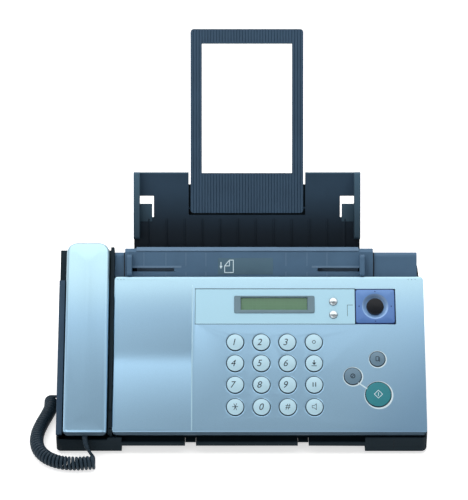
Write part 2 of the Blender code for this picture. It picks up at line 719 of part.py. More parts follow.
def hopper_front(machine):
    """The bent sheet in front of the paper: a bright lip on the ledge, then a wall beside the tray."""
    top = TABLE_TOP_Z + FIT_GAP
    outer = HOPPER_GAP + HOPPER_WALL
    section = [
        (TABLE_TOP_Y, top), (TABLE_TOP_Y, top + LIP_HEIGHT), (TABLE_TOP_Y + LIP_DEPTH, top + LIP_HEIGHT),
        tray_point(HOPPER_TOP, HOPPER_GAP), tray_point(HOPPER_BOTTOM, HOPPER_GAP),
        tray_point(HOPPER_BOTTOM, outer), tray_point(HOPPER_TOP - LIP_HEIGHT, outer),
        (TABLE_TOP_Y + LIP_DEPTH, top),
    ]
    add_part("hopper_front", prism(section, LIP_LEFT, LIP_RIGHT), "grey_blue_plastic", machine)


def document_guide(name, face, left, rack_side):
    """A document guide: rounded blade, neck through the slot, rack arm behind the table."""
    right = left + GUIDE_THICKNESS
    blade = filleted([
        (GUIDE_FROM_FOOT, FIT_GAP, 0), (GUIDE_FROM_FOOT + GUIDE_LENGTH, FIT_GAP, 0),
        (GUIDE_FROM_FOOT + GUIDE_LENGTH, GUIDE_REACH, GUIDE_CORNER),
        (GUIDE_FROM_FOOT, GUIDE_REACH, GUIDE_CORNER),
    ])
    neck = SLOT_WIDTH / 2 - SLIDE_GAP
    behind = -WALL - SLIDE_GAP
    rack_near = PINION_RADIUS + PINION_TOOTH + FIT_GAP
    rack_far = rack_near + RACK_WIDTH
    rows = sorted((SLOT_HEIGHT + rack_side * rack_near, SLOT_HEIGHT + rack_side * rack_far))
    columns = sorted((left if rack_side > 0 else right, PINION_X + rack_side * 2 * PINION_RADIUS))
    web = sorted((SLOT_HEIGHT - rack_side * neck, SLOT_HEIGHT + rack_side * rack_far))
    pieces = [
        box((left, SLOT_HEIGHT - neck, behind - RACK_DEPTH / 2), (right, SLOT_HEIGHT + neck, GUIDE_CORNER)),
        box((left, web[0], behind - RACK_DEPTH), (right, web[1], behind)),
        box((columns[0], rows[0], behind - RACK_DEPTH), (columns[1], rows[1], behind)),
    ]
    add_part(name, fuse(prism(blade, left, right), *pieces), "dark_plastic", face, (left, SLOT_HEIGHT, 0.0))


def guide_pinion(face):
    """The toothed wheel between the two racks, on its post."""
    outline = []
    tooth = 2 * math.pi / PINION_TEETH
    for index in range(PINION_TEETH):
        for share, reach in ((0.0, 0.0), (0.2, PINION_TOOTH), (0.5, PINION_TOOTH), (0.7, 0.0)):
            angle = (index + share) * tooth
            radius = PINION_RADIUS + reach
            outline.append((PINION_X + radius * math.cos(angle), SLOT_HEIGHT + radius * math.sin(angle)))
    behind = -WALL - SLIDE_GAP
    wheel = prism(outline, behind - RACK_DEPTH, behind, "z")
    bore = cylinder(PINION_POST + FIT_GAP, behind - 2 * RACK_DEPTH, 0.0, (PINION_X, SLOT_HEIGHT, 0.0),
                    segments=SHAFT_SEGMENTS)
    add_part("guide_pinion", cut(wheel, bore), "white_nylon", face, (PINION_X, SLOT_HEIGHT, behind))


def tray_window(side):
    """The L-shaped hole beside a tray wall: side is -1 at the left and 1 at the right."""
    wall = TRAY_CENTRE + side * (TRAY_WIDTH / 2 - TRAY_WALL)
    inner = wall - side * TRAY_WINDOW_WIDTH
    tab = wall - side * TRAY_TAB_WIDTH
    return [
        (wall, TRAY_WINDOW_TOP), (inner, TRAY_WINDOW_TOP), (inner, TRAY_WINDOW_BOTTOM),
        (tab, TRAY_WINDOW_BOTTOM), (tab, TRAY_TAB_TOP), (wall, TRAY_TAB_TOP),
    ]


def paper_tray(lean):
    """The leaning tray: plate with a notch and two windows, side walls, ribs and pivot pegs."""
    outline = filleted([
        (TRAY_LEFT, TRAY_BOTTOM, 0), (TRAY_RIGHT, TRAY_BOTTOM, 0),
        (TRAY_RIGHT, TRAY_TOP, TRAY_CORNER), (TRAY_LEFT, TRAY_TOP, TRAY_CORNER),
    ])
    plate = prism(outline, -TRAY_THICKNESS, 0.0, "z")
    half = EXTENSION_WIDTH / 2 + EXTENSION_NOTCH_GAP
    notch_foot = EXTENSION_FOOT - EXTENSION_NOTCH_GAP
    notch = box((TRAY_CENTRE - half, notch_foot, -TRAY_TOP), (TRAY_CENTRE + half, 2 * TRAY_TOP, TRAY_TOP))
    windows = [prism(tray_window(side), -TRAY_TOP, TRAY_TOP, "z") for side in (-1, 1)]
    plate = cut(plate, notch, *windows)
    wall = filleted([
        (TRAY_WALL_FOOT, -TRAY_THICKNESS / 2, 0), (TRAY_WALL_FOOT, TRAY_WALL_REACH, TRAY_CORNER),
        (TRAY_TOP, TRAY_WALL_REACH, TRAY_CORNER), (TRAY_TOP, -TRAY_THICKNESS / 2, 0),
    ])
    walls = [prism(wall, TRAY_LEFT, TRAY_LEFT + TRAY_WALL),
             prism(wall, TRAY_RIGHT - TRAY_WALL, TRAY_RIGHT)]
    inner = TRAY_WIDTH - 2 * TRAY_WALL
    ribs = []
    for index in range(TRAY_RIB_COUNT):
        x = TRAY_LEFT + TRAY_WALL + inner * (index + 0.5) / TRAY_RIB_COUNT
        ribs.append(box((x - TRAY_RIB_WIDTH / 2, TRAY_RIB_FOOT, -TRAY_THICKNESS / 2),
                        (x + TRAY_RIB_WIDTH / 2, TRAY_RIB_TOP, TRAY_RIB_HEIGHT)))
    centre = (0.0, EXTENSION_AXIS, EXTENSION_AXIS_DEPTH)
    pegs = []
    for side in (-1, 1):
        root = TRAY_CENTRE + side * (half + PIVOT_PEG_LENGTH)
        tip = TRAY_CENTRE + side * (half - PIVOT_PEG_LENGTH)
        pegs.append(cylinder(PIVOT_PEG_RADIUS, min(root, tip), max(root, tip), centre, "x", SHAFT_SEGMENTS))
    add_part("paper_tray", fuse(plate, *walls, *pegs, *ribs), "tray_plastic", lean)


def paper_extension(lean):
    """The open frame that holds long paper up, bored for its pivot pegs."""
    left = TRAY_CENTRE - EXTENSION_WIDTH / 2
    right = TRAY_CENTRE + EXTENSION_WIDTH / 2
    low = EXTENSION_AXIS_DEPTH - EXTENSION_THICKNESS / 2
    high = EXTENSION_AXIS_DEPTH + EXTENSION_THICKNESS / 2
    outline = rounded_rectangle(left, right, EXTENSION_FOOT, EXTENSION_TOP, EXTENSION_CORNER)
    plate = prism(outline, low, high, "z")
    window = box((left + EXTENSION_SIDE, EXTENSION_WINDOW_FOOT, 2 * low),
                 (right - EXTENSION_SIDE, EXTENSION_TOP - EXTENSION_BAR, 2 * EXTENSION_THICKNESS))
    bore = PIVOT_PEG_RADIUS + FIT_GAP
    centre = (0.0, EXTENSION_AXIS, EXTENSION_AXIS_DEPTH)
    bores = [cylinder(bore, left - PIVOT_PEG_LENGTH, left + PIVOT_PEG_LENGTH, centre, "x", SHAFT_SEGMENTS),
             cylinder(bore, right - PIVOT_PEG_LENGTH, right + PIVOT_PEG_LENGTH, centre, "x", SHAFT_SEGMENTS)]
    frame = cut(plate, window, *bores)
    origin = (TRAY_CENTRE, EXTENSION_AXIS, EXTENSION_AXIS_DEPTH)
    add_part("paper_extension", frame, "extension_plastic", lean, origin)


def key_places():
    """Every key as (name, x, place along the slope, radius, finish)."""
    names = (
        ("key_1", "key_2", "key_3", "function_key_upper"),
        ("key_4", "key_5", "key_6", "function_key_middle"),
        ("key_7", "key_8", "key_9", "function_key_lower"),
        ("key_star", "key_0", "key_hash", "speaker_key"),
    )
    places = []
    for row, distance in zip(names, KEY_ROWS):
        for name, x in zip(row, KEY_COLUMNS):
            places.append((name, x, from_panel_top(distance), KEY_RADIUS, "key_pale"))
    for name, place, radius, finish in (
        ("copy_key", COPY_KEY_PLACE, COPY_KEY_RADIUS, "key_grey"),
        ("stop_key", STOP_KEY_PLACE, STOP_KEY_RADIUS, "key_grey"),
        ("start_key", START_KEY_PLACE, START_KEY_RADIUS, "key_teal"),
        ("small_key_upper", (SMALL_KEY_X, SMALL_KEY_PLACES[0]), SMALL_KEY_RADIUS, "key_chrome"),
        ("small_key_lower", (SMALL_KEY_X, SMALL_KEY_PLACES[1]), SMALL_KEY_RADIUS, "key_chrome"),
    ):
        places.append((name, place[0], from_panel_top(place[1]), radius, finish))
    return places


def keys(pivot):
    """Crowned round keys, each with a flange below the panel that keeps it in its hole."""
    flange_top = PANEL_UNDERSIDE - FIT_GAP
    flange_foot = flange_top - KEY_FLANGE_HEIGHT
    top = PANEL_NOSE + KEY_PROUD
    for name, x, along, radius, finish in key_places():
        profile = [
            (0, flange_foot), (radius + KEY_FLANGE, flange_foot), (radius + KEY_FLANGE, flange_top),
            (radius, flange_top), (radius, top - KEY_EDGE), (radius - KEY_EDGE, top), (0, top + KEY_CROWN),
        ]
        add_part(name, turned(profile, (x, along, 0.0)), finish, pivot, (x, along, 0.0))


def scoop_outline():
    """Side view of the scoop's cutter: two swells, each falling by the square of its run to one valley."""
    shares = [step / SCOOP_STEPS for step in range(SCOOP_STEPS + 1)]
    upper = [(SCOOP_TOP + share * (SCOOP_VALLEY - SCOOP_TOP), share) for share in shares]
    lower = [(SCOOP_BOTTOM + share * (SCOOP_VALLEY - SCOOP_BOTTOM), share) for share in shares]
    swells = upper + lower[-2::-1]
    floor = [(from_panel_top(place), PANEL_NOSE - SCOOP_DEPTH * share ** 2) for place, share in swells]
    return floor + [(floor[-1][0], PANEL_NOSE + WALL), (floor[0][0], PANEL_NOSE + WALL)]


def control_panel(pivot):
    """The silver cover: rounded front edge, side skirts, scoop, recess, key holes, hinge bores."""
    arc = [math.pi / 2 + math.pi * step / 8 for step in range(9)]
    nose = [(PANEL_NOSE * math.cos(angle), PANEL_NOSE * math.sin(angle)) for angle in arc]
    rim = [(PANEL_REAR - WALL, PANEL_NOSE - PANEL_TOP_EDGE, 0), (PANEL_REAR, PANEL_NOSE - PANEL_TOP_EDGE, 0),
           (PANEL_REAR, PANEL_NOSE, PANEL_TOP_FILLET), (0.0, PANEL_NOSE, 0)]
    section = nose + [(WALL, -PANEL_NOSE), (WALL, PANEL_UNDERSIDE), (PANEL_REAR - WALL, PANEL_UNDERSIDE)]
    section += filleted(rim)[:-1]
    shell = prism(section, PANEL_LEFT, PANEL_RIGHT)
    lap = PANEL_THICKNESS / 2
    skirt = [(0.0, PANEL_SKIRT_FOOT), (PANEL_REAR, PANEL_SKIRT_FOOT),
             (PANEL_REAR, PANEL_UNDERSIDE + lap), (0.0, PANEL_UNDERSIDE + lap)]
    backing = box((PANEL_LEFT + lap, lap, PANEL_UNDERSIDE - SCOOP_DEPTH),
                  (SCOOP_RIGHT + WALL, PANEL_REAR - lap, PANEL_UNDERSIDE + lap))
    foot = BOARD_TOP + FIT_GAP
    root = PANEL_UNDERSIDE + lap
    posts = [cylinder(BOARD_POST_RADIUS, foot, root, (x, along, 0.0), "z", SHAFT_SEGMENTS)
             for x, along in board_corners()]
    skirts = [prism(skirt, PANEL_LEFT, PANEL_LEFT + WALL), prism(skirt, PANEL_RIGHT - WALL, PANEL_RIGHT)]
    shell = fuse(shell, *skirts, backing, *posts)
    plan = rounded_rectangle(PANEL_LEFT, PANEL_RIGHT, -PANEL_NOSE, PANEL_REAR, PANEL_CORNER)
    shell = cross(shell, prism(plan, -BODY_DEPTH, BODY_DEPTH, "z"))
    low = from_panel_top(DISPLAY_BOTTOM)
    high = from_panel_top(DISPLAY_TOP)
    recess = prism(rounded_rectangle(DISPLAY_LEFT, NAV_RIGHT + NAV_GAP, low, high, DISPLAY_CORNER),
                   PANEL_NOSE - DISPLAY_RECESS, BODY_DEPTH, "z")
    nav_hole = box((DISPLAY_RIGHT, low, -BODY_DEPTH), (NAV_RIGHT + NAV_GAP, high, BODY_DEPTH))
    window = box((WINDOW_LEFT - FIT_GAP, from_panel_top(WINDOW_BOTTOM) - FIT_GAP, -BODY_DEPTH),
                 (WINDOW_RIGHT + FIT_GAP, from_panel_top(WINDOW_TOP) + FIT_GAP, BODY_DEPTH))
    holes = []
    for name, x, along, radius, finish in key_places():
        wide = radius + KEY_RECESS - KEY_RADIUS
        ledge = PANEL_NOSE - KEY_RECESS_DEPTH
        holes.append(turned([(0, -BODY_DEPTH), (radius + SLIDE_GAP, -BODY_DEPTH), (radius + SLIDE_GAP, ledge),
                             (wide, ledge), (wide, BODY_DEPTH), (0, BODY_DEPTH)], (x, along, 0.0)))
    bore = HINGE_PEG_RADIUS + FIT_GAP
    room = HINGE_LUG_RADIUS + HINGE_LUG_ROOM
    right_end = PANEL_RIGHT - WALL - FIT_GAP
    hinge = [
        cylinder(bore, PANEL_LEFT - WALL, PANEL_LEFT + HINGE_PEG_LENGTH, axis="x", segments=SHAFT_SEGMENTS),
        cylinder(bore, right_end - HINGE_PEG_LENGTH, PANEL_RIGHT, axis="x", segments=SHAFT_SEGMENTS),
        box((right_end, -2 * PANEL_NOSE, 2 * PANEL_SKIRT_FOOT), (2 * PANEL_RIGHT, room, room)),
    ]
    hollow = prism(scoop_outline(), 2 * PANEL_LEFT, SCOOP_RIGHT)
    shell = cut(shell, hollow, recess, nav_hole, window, gathered(holes), *hinge)
    add_part("control_panel", shell, "silver_plastic", pivot)


def display(pivot):
    """The display plate, the LCD's bezel and the LCD itself, stacked in the panel's recess."""
    floor = PANEL_NOSE - DISPLAY_RECESS + FIT_GAP
    low = from_panel_top(DISPLAY_BOTTOM) + FIT_GAP
    high = from_panel_top(DISPLAY_TOP) - FIT_GAP
    outline = rounded_rectangle(DISPLAY_LEFT + FIT_GAP, DISPLAY_RIGHT, low, high, DISPLAY_CORNER)
    plate = prism(outline, floor, PANEL_NOSE, "z")
    bezel_low = from_panel_top(BEZEL_BOTTOM)
    bezel_high = from_panel_top(BEZEL_TOP)
    around = rounded_rectangle(BEZEL_LEFT - FIT_GAP, BEZEL_RIGHT + FIT_GAP,
                               bezel_low - FIT_GAP, bezel_high + FIT_GAP, BEZEL_CORNER)
    holes = [prism(around, -BODY_DEPTH, BODY_DEPTH, "z")]
    for place in SMALL_KEY_PLACES:
        centre = (SMALL_KEY_X, from_panel_top(place), 0.0)
        holes.append(cylinder(SMALL_KEY_RADIUS + SLIDE_GAP, -BODY_DEPTH, BODY_DEPTH, centre))
    add_part("display_plate", cut(plate, *holes), "display_blue", pivot)
    frame = prism(rounded_rectangle(BEZEL_LEFT, BEZEL_RIGHT, bezel_low, bezel_high, BEZEL_CORNER),
                  floor, PANEL_NOSE + BEZEL_PROUD, "z")
    glass_low = from_panel_top(WINDOW_BOTTOM)
    glass_high = from_panel_top(WINDOW_TOP)
    opening = box((WINDOW_LEFT - FIT_GAP, glass_low - FIT_GAP, -BODY_DEPTH),
                  (WINDOW_RIGHT + FIT_GAP, glass_high + FIT_GAP, BODY_DEPTH))
    add_part("lcd_bezel", cut(frame, opening), "bezel_grey", pivot)
    module = box((WINDOW_LEFT, glass_low, BOARD_TOP + FIT_GAP),
                 (WINDOW_RIGHT, glass_high, PANEL_NOSE - WINDOW_SUNK))
    add_part("lcd_window", module, "lcd_glass", pivot)


def nav_centre():
    """Centre of the navigation pad on the panel."""
    return (NAV_RIGHT - NAV_WIDTH / 2, from_panel_top((DISPLAY_TOP + DISPLAY_BOTTOM) / 2))


def navigation(pivot):
    """The four-way pad with its dish, the gimbal ring it tilts on and the button at its centre."""
    x, along = nav_centre()
    half = NAV_WIDTH / 2
    tall = (DISPLAY_BOTTOM - DISPLAY_TOP) / 2 - NAV_GAP
    top = PANEL_NOSE + NAV_PROUD
    outline = rounded_rectangle(x - half, x + half, along - tall, along + tall, NAV_CORNER)
    pad = prism(outline, NAV_BASE, top, "z")
    well = NAV_BUTTON_RADIUS + SLIDE_GAP
    floor = NAV_BASE + NAV_FLOOR
    dish = turned([(0, floor), (well, floor), (well, top - NAV_DISH_DEPTH), (NAV_DISH_RADIUS, top),
                   (NAV_DISH_RADIUS, BODY_DEPTH), (0, BODY_DEPTH)], (x, along, 0.0), segments=NAV_SEGMENTS)
    add_part("nav_pad", cut(pad, dish), "nav_blue", pivot, (x, along, GIMBAL_TOP))
    button_top = top + NAV_BUTTON_PROUD
    button = turned([(0, button_top - NAV_BUTTON_HEIGHT), (NAV_BUTTON_RADIUS, button_top - NAV_BUTTON_HEIGHT),
                     (NAV_BUTTON_RADIUS, button_top - KEY_EDGE), (NAV_BUTTON_RADIUS - KEY_EDGE, button_top),
                     (0, button_top + KEY_EDGE)], (x, along, 0.0), segments=NAV_SEGMENTS)
    add_part("nav_button", button, "button_black", pivot, (x, along, floor))
    foot = GIMBAL_TOP - GIMBAL_HEIGHT
    ring = turned([(GIMBAL_BORE, foot), (GIMBAL_RADIUS, foot), (GIMBAL_RADIUS, GIMBAL_TOP),
                   (GIMBAL_BORE, GIMBAL_TOP)], (x, along, 0.0))
    add_part("nav_gimbal", ring, "white_nylon", pivot, (x, along, GIMBAL_TOP))


def board_corners():
    """Screw posts of the key board, on the panel."""
    near = BOARD_POST_RADIUS
    rows = (BOARD_MARGIN + near, PANEL_REAR - BOARD_MARGIN - near)
    return [(x, along) for x in (BOARD_LEFT + near, BOARD_RIGHT - near) for along in rows]


def panel_board(pivot):
    """The key board under the panel, opened round the gimbal."""
    foot = BOARD_TOP - BOARD_THICKNESS
    board = box((BOARD_LEFT, BOARD_MARGIN, foot), (BOARD_RIGHT, PANEL_REAR - BOARD_MARGIN, BOARD_TOP))
    hole = cylinder(GIMBAL_RADIUS + NAV_GAP, -BODY_DEPTH, BODY_DEPTH, (*nav_centre(), 0.0))
    add_part("panel_board", cut(board, hole), "board_green", pivot)


def handset_plan(inset):
    """The handset's outline seen from above, rounder at its rear, drawn in by an inset."""
    half = HANDSET_WIDTH / 2 - inset
    front = HANDSET_FRONT + inset
    rear = HANDSET_FRONT + HANDSET_LENGTH - inset
    near = HANDSET_FRONT_CORNER - inset
    far = HANDSET_REAR_CORNER - inset
    return filleted([(HANDSET_X - half, front, near), (HANDSET_X + half, front, near),
                     (HANDSET_X + half, rear, far), (HANDSET_X - half, rear, far)])


def handset_underside(drop, slack):
    """Lower line of the handset from front to rear: cup, grip, cup; lowered and opened for its bed."""
    front = HANDSET_FRONT + HANDSET_STEP
    rear = HANDSET_FRONT + HANDSET_LENGTH - HANDSET_STEP
    bottom = HANDSET_BOTTOM - drop
    grip = HANDSET_GRIP_BOTTOM - drop
    return [
        (front + HANDSET_CUP_LENGTH + slack, bottom),
        (front + HANDSET_CUP_LENGTH + HANDSET_CUP_SLOPE + slack, grip),
        (rear - HANDSET_CUP_LENGTH - HANDSET_CUP_SLOPE - slack, grip),
        (rear - HANDSET_CUP_LENGTH - slack, bottom),
    ]


def handset(pivot):
    """The handset's smooth upper shell and its lower shell with the two cups."""
    origin = (HANDSET_X, HANDSET_FRONT + HANDSET_LENGTH / 2, HANDSET_BOTTOM)
    turn = HANDSET_EDGE_SHARE * HANDSET_EDGE
    levels = (
        (0.0, HANDSET_SPLIT), (0.0, HANDSET_TOP - HANDSET_EDGE),
        (turn, HANDSET_TOP - turn), (HANDSET_EDGE, HANDSET_TOP),
    )
    rings = [[(x, along, height) for x, along in handset_plan(inset)] for inset, height in levels]
    add_part("handset_upper_shell", lofted(rings), "silver_plastic", pivot, origin)
    front = HANDSET_FRONT + HANDSET_STEP
    rear = HANDSET_FRONT + HANDSET_LENGTH - HANDSET_STEP
    split = HANDSET_SPLIT - FIT_GAP
    side = [(front, split), (front, HANDSET_TOE_HEIGHT), (front + HANDSET_TOE, HANDSET_BOTTOM)]
    side += handset_underside(0.0, 0.0)
    side += [(rear - HANDSET_HEEL, HANDSET_BOTTOM), (rear, HANDSET_BOTTOM + HANDSET_HEEL), (rear, split)]
    half = HANDSET_WIDTH / 2
    lower = prism(side, HANDSET_X - half, HANDSET_X + half)
    lower = cross(lower, prism(handset_plan(HANDSET_STEP), -BODY_DEPTH, BODY_DEPTH, "z"))
    add_part("handset_lower_shell", lower, "silver_plastic", pivot, origin)


def handset_cradle(slope):
    """The bed of the handset, seated on the base: a slab with the handset's own hollow."""
    foot = SEAT_LINE + FIT_GAP
    slab = [
        (0.0, foot), (0.0, -PANEL_NOSE), (CRADLE_FRONT, CRADLE_LIP), (CRADLE_FRONT, CRADLE_TOP),
        (CRADLE_REAR, CRADLE_TOP), (CRADLE_REAR, foot),
    ]
    body = prism(slab, -BODY_SIDE, CRADLE_RIGHT)
    pad = box((CRADLE_RIGHT - REST_PAD_WIDTH, from_panel_top(REST_PAD_FROM_TOP + REST_PAD_LENGTH), 0.0),
              (CRADLE_RIGHT - FIT_GAP, from_panel_top(REST_PAD_FROM_TOP), CRADLE_TOP + REST_PAD_HEIGHT))
    body = fuse(body, pad)
    bed = handset_underside(FIT_GAP, SLIDE_GAP)
    low = bed[0][1]
    beyond = 2 * BODY_DEPTH
    bed = [(-beyond, low)] + bed + [(beyond, low), (beyond, beyond), (-beyond, beyond)]
    half = HANDSET_WIDTH / 2 + HANDSET_SIDE_GAP
    hollow = prism(bed, HANDSET_X - half, HANDSET_X + half)
    rim_end = box((-2 * BODY_SIDE, CRADLE_RIM_END, low), (HANDSET_X, 2 * BODY_DEPTH, BODY_DEPTH))
    lug = HINGE_LUG_RADIUS + HINGE_LUG_ROOM
    lug_room = box((PANEL_LEFT - WALL - 2 * FIT_GAP, -BODY_DEPTH, -BODY_DEPTH), (0.0, lug, BODY_DEPTH))
    place = (HANDSET_X, HOOK_PLACE, 0.0)
    hook_hole = cylinder(HOOK_RADIUS + SLIDE_GAP, -beyond, beyond, place, "z", SHAFT_SEGMENTS)
    add_part("handset_cradle", cut(body, hollow, rim_end, lug_room, hook_hole), "dark_plastic", slope)
    top = HANDSET_GRIP_BOTTOM - FIT_GAP
    flange_top = foot - HOOK_TRAVEL - SLIDE_GAP
    flange_foot = flange_top - HOOK_FLANGE
    flange = HOOK_RADIUS + HOOK_FLANGE
    plunger = turned([(0, flange_foot), (flange, flange_foot), (flange, flange_top),
                      (HOOK_RADIUS, flange_top), (HOOK_RADIUS, top), (0, top)], place, "z", SHAFT_SEGMENTS)
    add_part("hook_switch", plunger, "white_nylon", slope, (HANDSET_X, HOOK_PLACE, top))


def feed_roller_centre():
    """Side-view place of the paper feed roller, just off the tray's face."""
    return tray_point(FEED_ROLLER_ALONG, FEED_ROLLER_RADIUS + SWING_GAP)


def roller(name, machine, centre, radius):
    """A rubber roller on a steel shaft that turns in the chassis."""
    start = CHASSIS_LEFT - CHASSIS_SHEET
    end = CHASSIS_RIGHT + CHASSIS_SHEET
    shaft = FEED_SHAFT_RADIUS
    profile = [(0, start), (shaft, start), (shaft, ROLLER_LEFT), (radius, ROLLER_LEFT),
               (radius, ROLLER_RIGHT), (shaft, ROLLER_RIGHT), (shaft, end), (0, end)]
    place = (0.0, *centre)
    add_part(name, turned(profile, place, "x", ROLLER_SEGMENTS), "roller_rubber", machine, place)


def print_chassis(machine):
    """The steel frame: two side plates below the panel board and a floor plate between them."""
    floor = FOOT_HEIGHT + WALL + FIT_GAP
    raised = ARCH_HEIGHT + WALL + FIT_GAP
    step = ARCH_DEPTH + WALL + FIT_GAP
    cosine = math.cos(PANEL_SLOPE)
    sine = math.sin(PANEL_SLOPE)
    front_along = (CHASSIS_FRONT - PANEL_AXIS_Y + CHASSIS_TOP * sine) / cosine
    top_along = (CHASSIS_CROWN - PANEL_AXIS_Z - CHASSIS_TOP * cosine) / sine
    side = [
        (CHASSIS_FRONT, raised), panel_point(front_along, CHASSIS_TOP), panel_point(top_along, CHASSIS_TOP),
        (CHASSIS_REAR, CHASSIS_CROWN), (CHASSIS_REAR, floor), (step, floor), (step, raised),
    ]
    left = prism(side, CHASSIS_LEFT, CHASSIS_LEFT + CHASSIS_SHEET)
    right = prism(side, CHASSIS_RIGHT - CHASSIS_SHEET, CHASSIS_RIGHT)
    lap = CHASSIS_SHEET / 2
    plate = box((CHASSIS_LEFT + lap, CHASSIS_FRONT + lap, CHASSIS_FLOOR),
                (CHASSIS_RIGHT - lap, CHASSIS_REAR - lap, CHASSIS_FLOOR + CHASSIS_SHEET))
    frame = fuse(plate, left, right)
    holes = []
    for centre, radius in ((feed_roller_centre(), FEED_SHAFT_RADIUS), ((ROD_Y, ROD_Z), ROD_RADIUS),
                           ((DOCUMENT_ROLLER_Y, DOCUMENT_ROLLER_Z), FEED_SHAFT_RADIUS)):
        holes.append(cylinder(radius + FIT_GAP, -BODY_WIDTH, BODY_WIDTH, (0.0, *centre), "x", SHAFT_SEGMENTS))
    add_part("print_chassis", cut(frame, *holes), "sheet_steel", machine)


def print_engine(machine):
    """The rod, the carriage that runs on it, the ink cartridge in the carriage and the motor."""
    axis = (0.0, ROD_Y, ROD_Z)
    start = CHASSIS_LEFT - CHASSIS_SHEET
    end = CHASSIS_RIGHT + CHASSIS_SHEET
    rod = cylinder(ROD_RADIUS, start, end, axis, "x", ROD_SEGMENTS)
    add_part("carriage_rod", rod, "bright_steel", machine)
    left = CARRIAGE_REST - CARRIAGE_WIDTH / 2
    right = CARRIAGE_REST + CARRIAGE_WIDTH / 2
    top = CARRIAGE_FOOT + CARRIAGE_HEIGHT
    body = box((left, CARRIAGE_FRONT, CARRIAGE_FOOT), (right, CARRIAGE_REAR, top))
    bore = cylinder(ROD_RADIUS + FIT_GAP, -BODY_WIDTH, BODY_WIDTH, axis, "x", ROD_SEGMENTS)
    pocket_low = (left + CARRIAGE_WALL, CARRIAGE_FRONT + CARRIAGE_WALL, CARRIAGE_FOOT + CARRIAGE_WALL)
    pocket_high = (right - CARRIAGE_WALL, ROD_Y - ROD_RADIUS - CARRIAGE_WALL, top + CARRIAGE_HEIGHT)
    origin = (CARRIAGE_REST, ROD_Y, ROD_Z)
    add_part("print_carriage", cut(body, bore, box(pocket_low, pocket_high)), "dark_plastic", machine, origin)
    low = tuple(place + FIT_GAP for place in pocket_low)
    high = (pocket_high[0] - FIT_GAP, pocket_high[1] - FIT_GAP, low[2] + CARTRIDGE_HEIGHT)
    add_part("ink_cartridge", box(low, high), "button_black", machine, origin)
    foot = FOOT_HEIGHT + WALL + FIT_GAP
    top = foot + MOTOR_LENGTH
    end = top + FEED_ROLLER_RADIUS
    motor = turned([(0, foot), (MOTOR_RADIUS, foot), (MOTOR_RADIUS, top), (FEED_SHAFT_RADIUS, top),
                    (FEED_SHAFT_RADIUS, end), (0, end)], (MOTOR_X, MOTOR_Y, 0.0))
    add_part("carriage_motor", motor, "sheet_steel", machine)


def main_board_corners():
    """Screw posts of the main board, on the floor of the base."""
    columns = (MAIN_BOARD_LEFT + MAIN_BOARD_INSET, MAIN_BOARD_RIGHT - MAIN_BOARD_INSET)
    rows = (MAIN_BOARD_FRONT + MAIN_BOARD_INSET, MAIN_BOARD_REAR - MAIN_BOARD_INSET)
    return [(x, y) for x in columns for y in rows]


def electronics(machine):
    """The main board on its posts and the power supply on the floor, at the back of the base."""
    board = box((MAIN_BOARD_LEFT, MAIN_BOARD_FRONT, MAIN_BOARD_FOOT),
                (MAIN_BOARD_RIGHT, MAIN_BOARD_REAR, MAIN_BOARD_FOOT + BOARD_THICKNESS))
    add_part("main_board", board, "board_green", machine)
    foot = FOOT_HEIGHT + WALL + FIT_GAP
    rear = BODY_DEPTH - WALL - FIT_GAP
    left = SUPPLY_RIGHT - SUPPLY_WIDTH
    outline = rounded_rectangle(left, SUPPLY_RIGHT, rear - SUPPLY_DEPTH, rear, BODY_CORNER / 2)
    add_part("power_supply", prism(outline, foot, foot + SUPPLY_HEIGHT, "z"), "sheet_steel", machine)


def smooth_curve(points, samples=40):
    """Dense places on a curve through the points: each stretch is a cubic set by its neighbours."""
    points = np.array(points, dtype=float)
    padded = np.vstack([2 * points[0] - points[1], points, 2 * points[-1] - points[-2]])
    share = np.linspace(0.0, 1.0, samples, endpoint=False)[:, None]
    stretches = []
    for before, start, end, after in zip(padded, padded[1:], padded[2:], padded[3:]):
        linear = (end - before) / 2
        square = before - 2.5 * start + 2 * end - after / 2
        cube = (after - before) / 2 + 1.5 * (start - end)
        stretches.append(start + linear * share + square * share ** 2 + cube * share ** 3)
    return np.vstack(stretches + [points[-1:]])


def along_curve(curve, places):
    """Points of a dense curve at given distances from its start."""
    steps = np.linalg.norm(np.diff(curve, axis=0), axis=1)
    distance = np.concatenate([[0.0], np.cumsum(steps)])
    return np.column_stack([np.interp(places, distance, column) for column in curve.T])


def curve_length(curve):
    """Length of a dense curve."""
    return float(np.linalg.norm(np.diff(curve, axis=0), axis=1).sum())


def curl_points():
    """The curly cord's centreline: a helix about the route, from below its start to above its end."""
    axis_height = CORD_RADIUS + CURL_RADIUS
    route = smooth_curve([(x, y, axis_height) for x, y in CURL_ROUTE])
    length = curve_length(route)
    half_turns = 2 * math.floor(length / CURL_PITCH) + 1
    count = half_turns * CURL_POINTS // 2
    places = np.linspace(0.0, length, count + 1)
    centres = along_curve(route, places)
    ahead = np.gradient(centres, axis=0)
    ahead /= np.linalg.norm(ahead, axis=1)[:, None]
    side = np.column_stack([-ahead[:, 1], ahead[:, 0], np.zeros(len(ahead))])
    angle = math.pi + 2 * math.pi * np.arange(count + 1)[:, None] / CURL_POINTS
    upward = np.array([0.0, 0.0, 1.0])
    turns = centres + CURL_RADIUS * (np.cos(angle) * upward - np.sin(angle) * side)
    start = turns[0] - side[0] * CORD_DIAMETER
    end = turns[-1] - side[-1] * CORD_DIAMETER
    return np.vstack([start, turns, end])


def least_gap(points):
    """Least clear gap between turns of the cord, from points finer than its own."""
    fine = along_curve(points, np.linspace(0.0, curve_length(points), GAP_SAMPLES))
    apart = np.linalg.norm(fine[:, None, :] - fine[None, :, :], axis=2)
    spacing = curve_length(points) / GAP_SAMPLES
    skip = int(math.pi * CURL_RADIUS / spacing)
    index = np.arange(GAP_SAMPLES)
    apart[np.abs(index[:, None] - index[None, :]) < skip] = np.inf
    return float(apart.min()) - CORD_DIAMETER


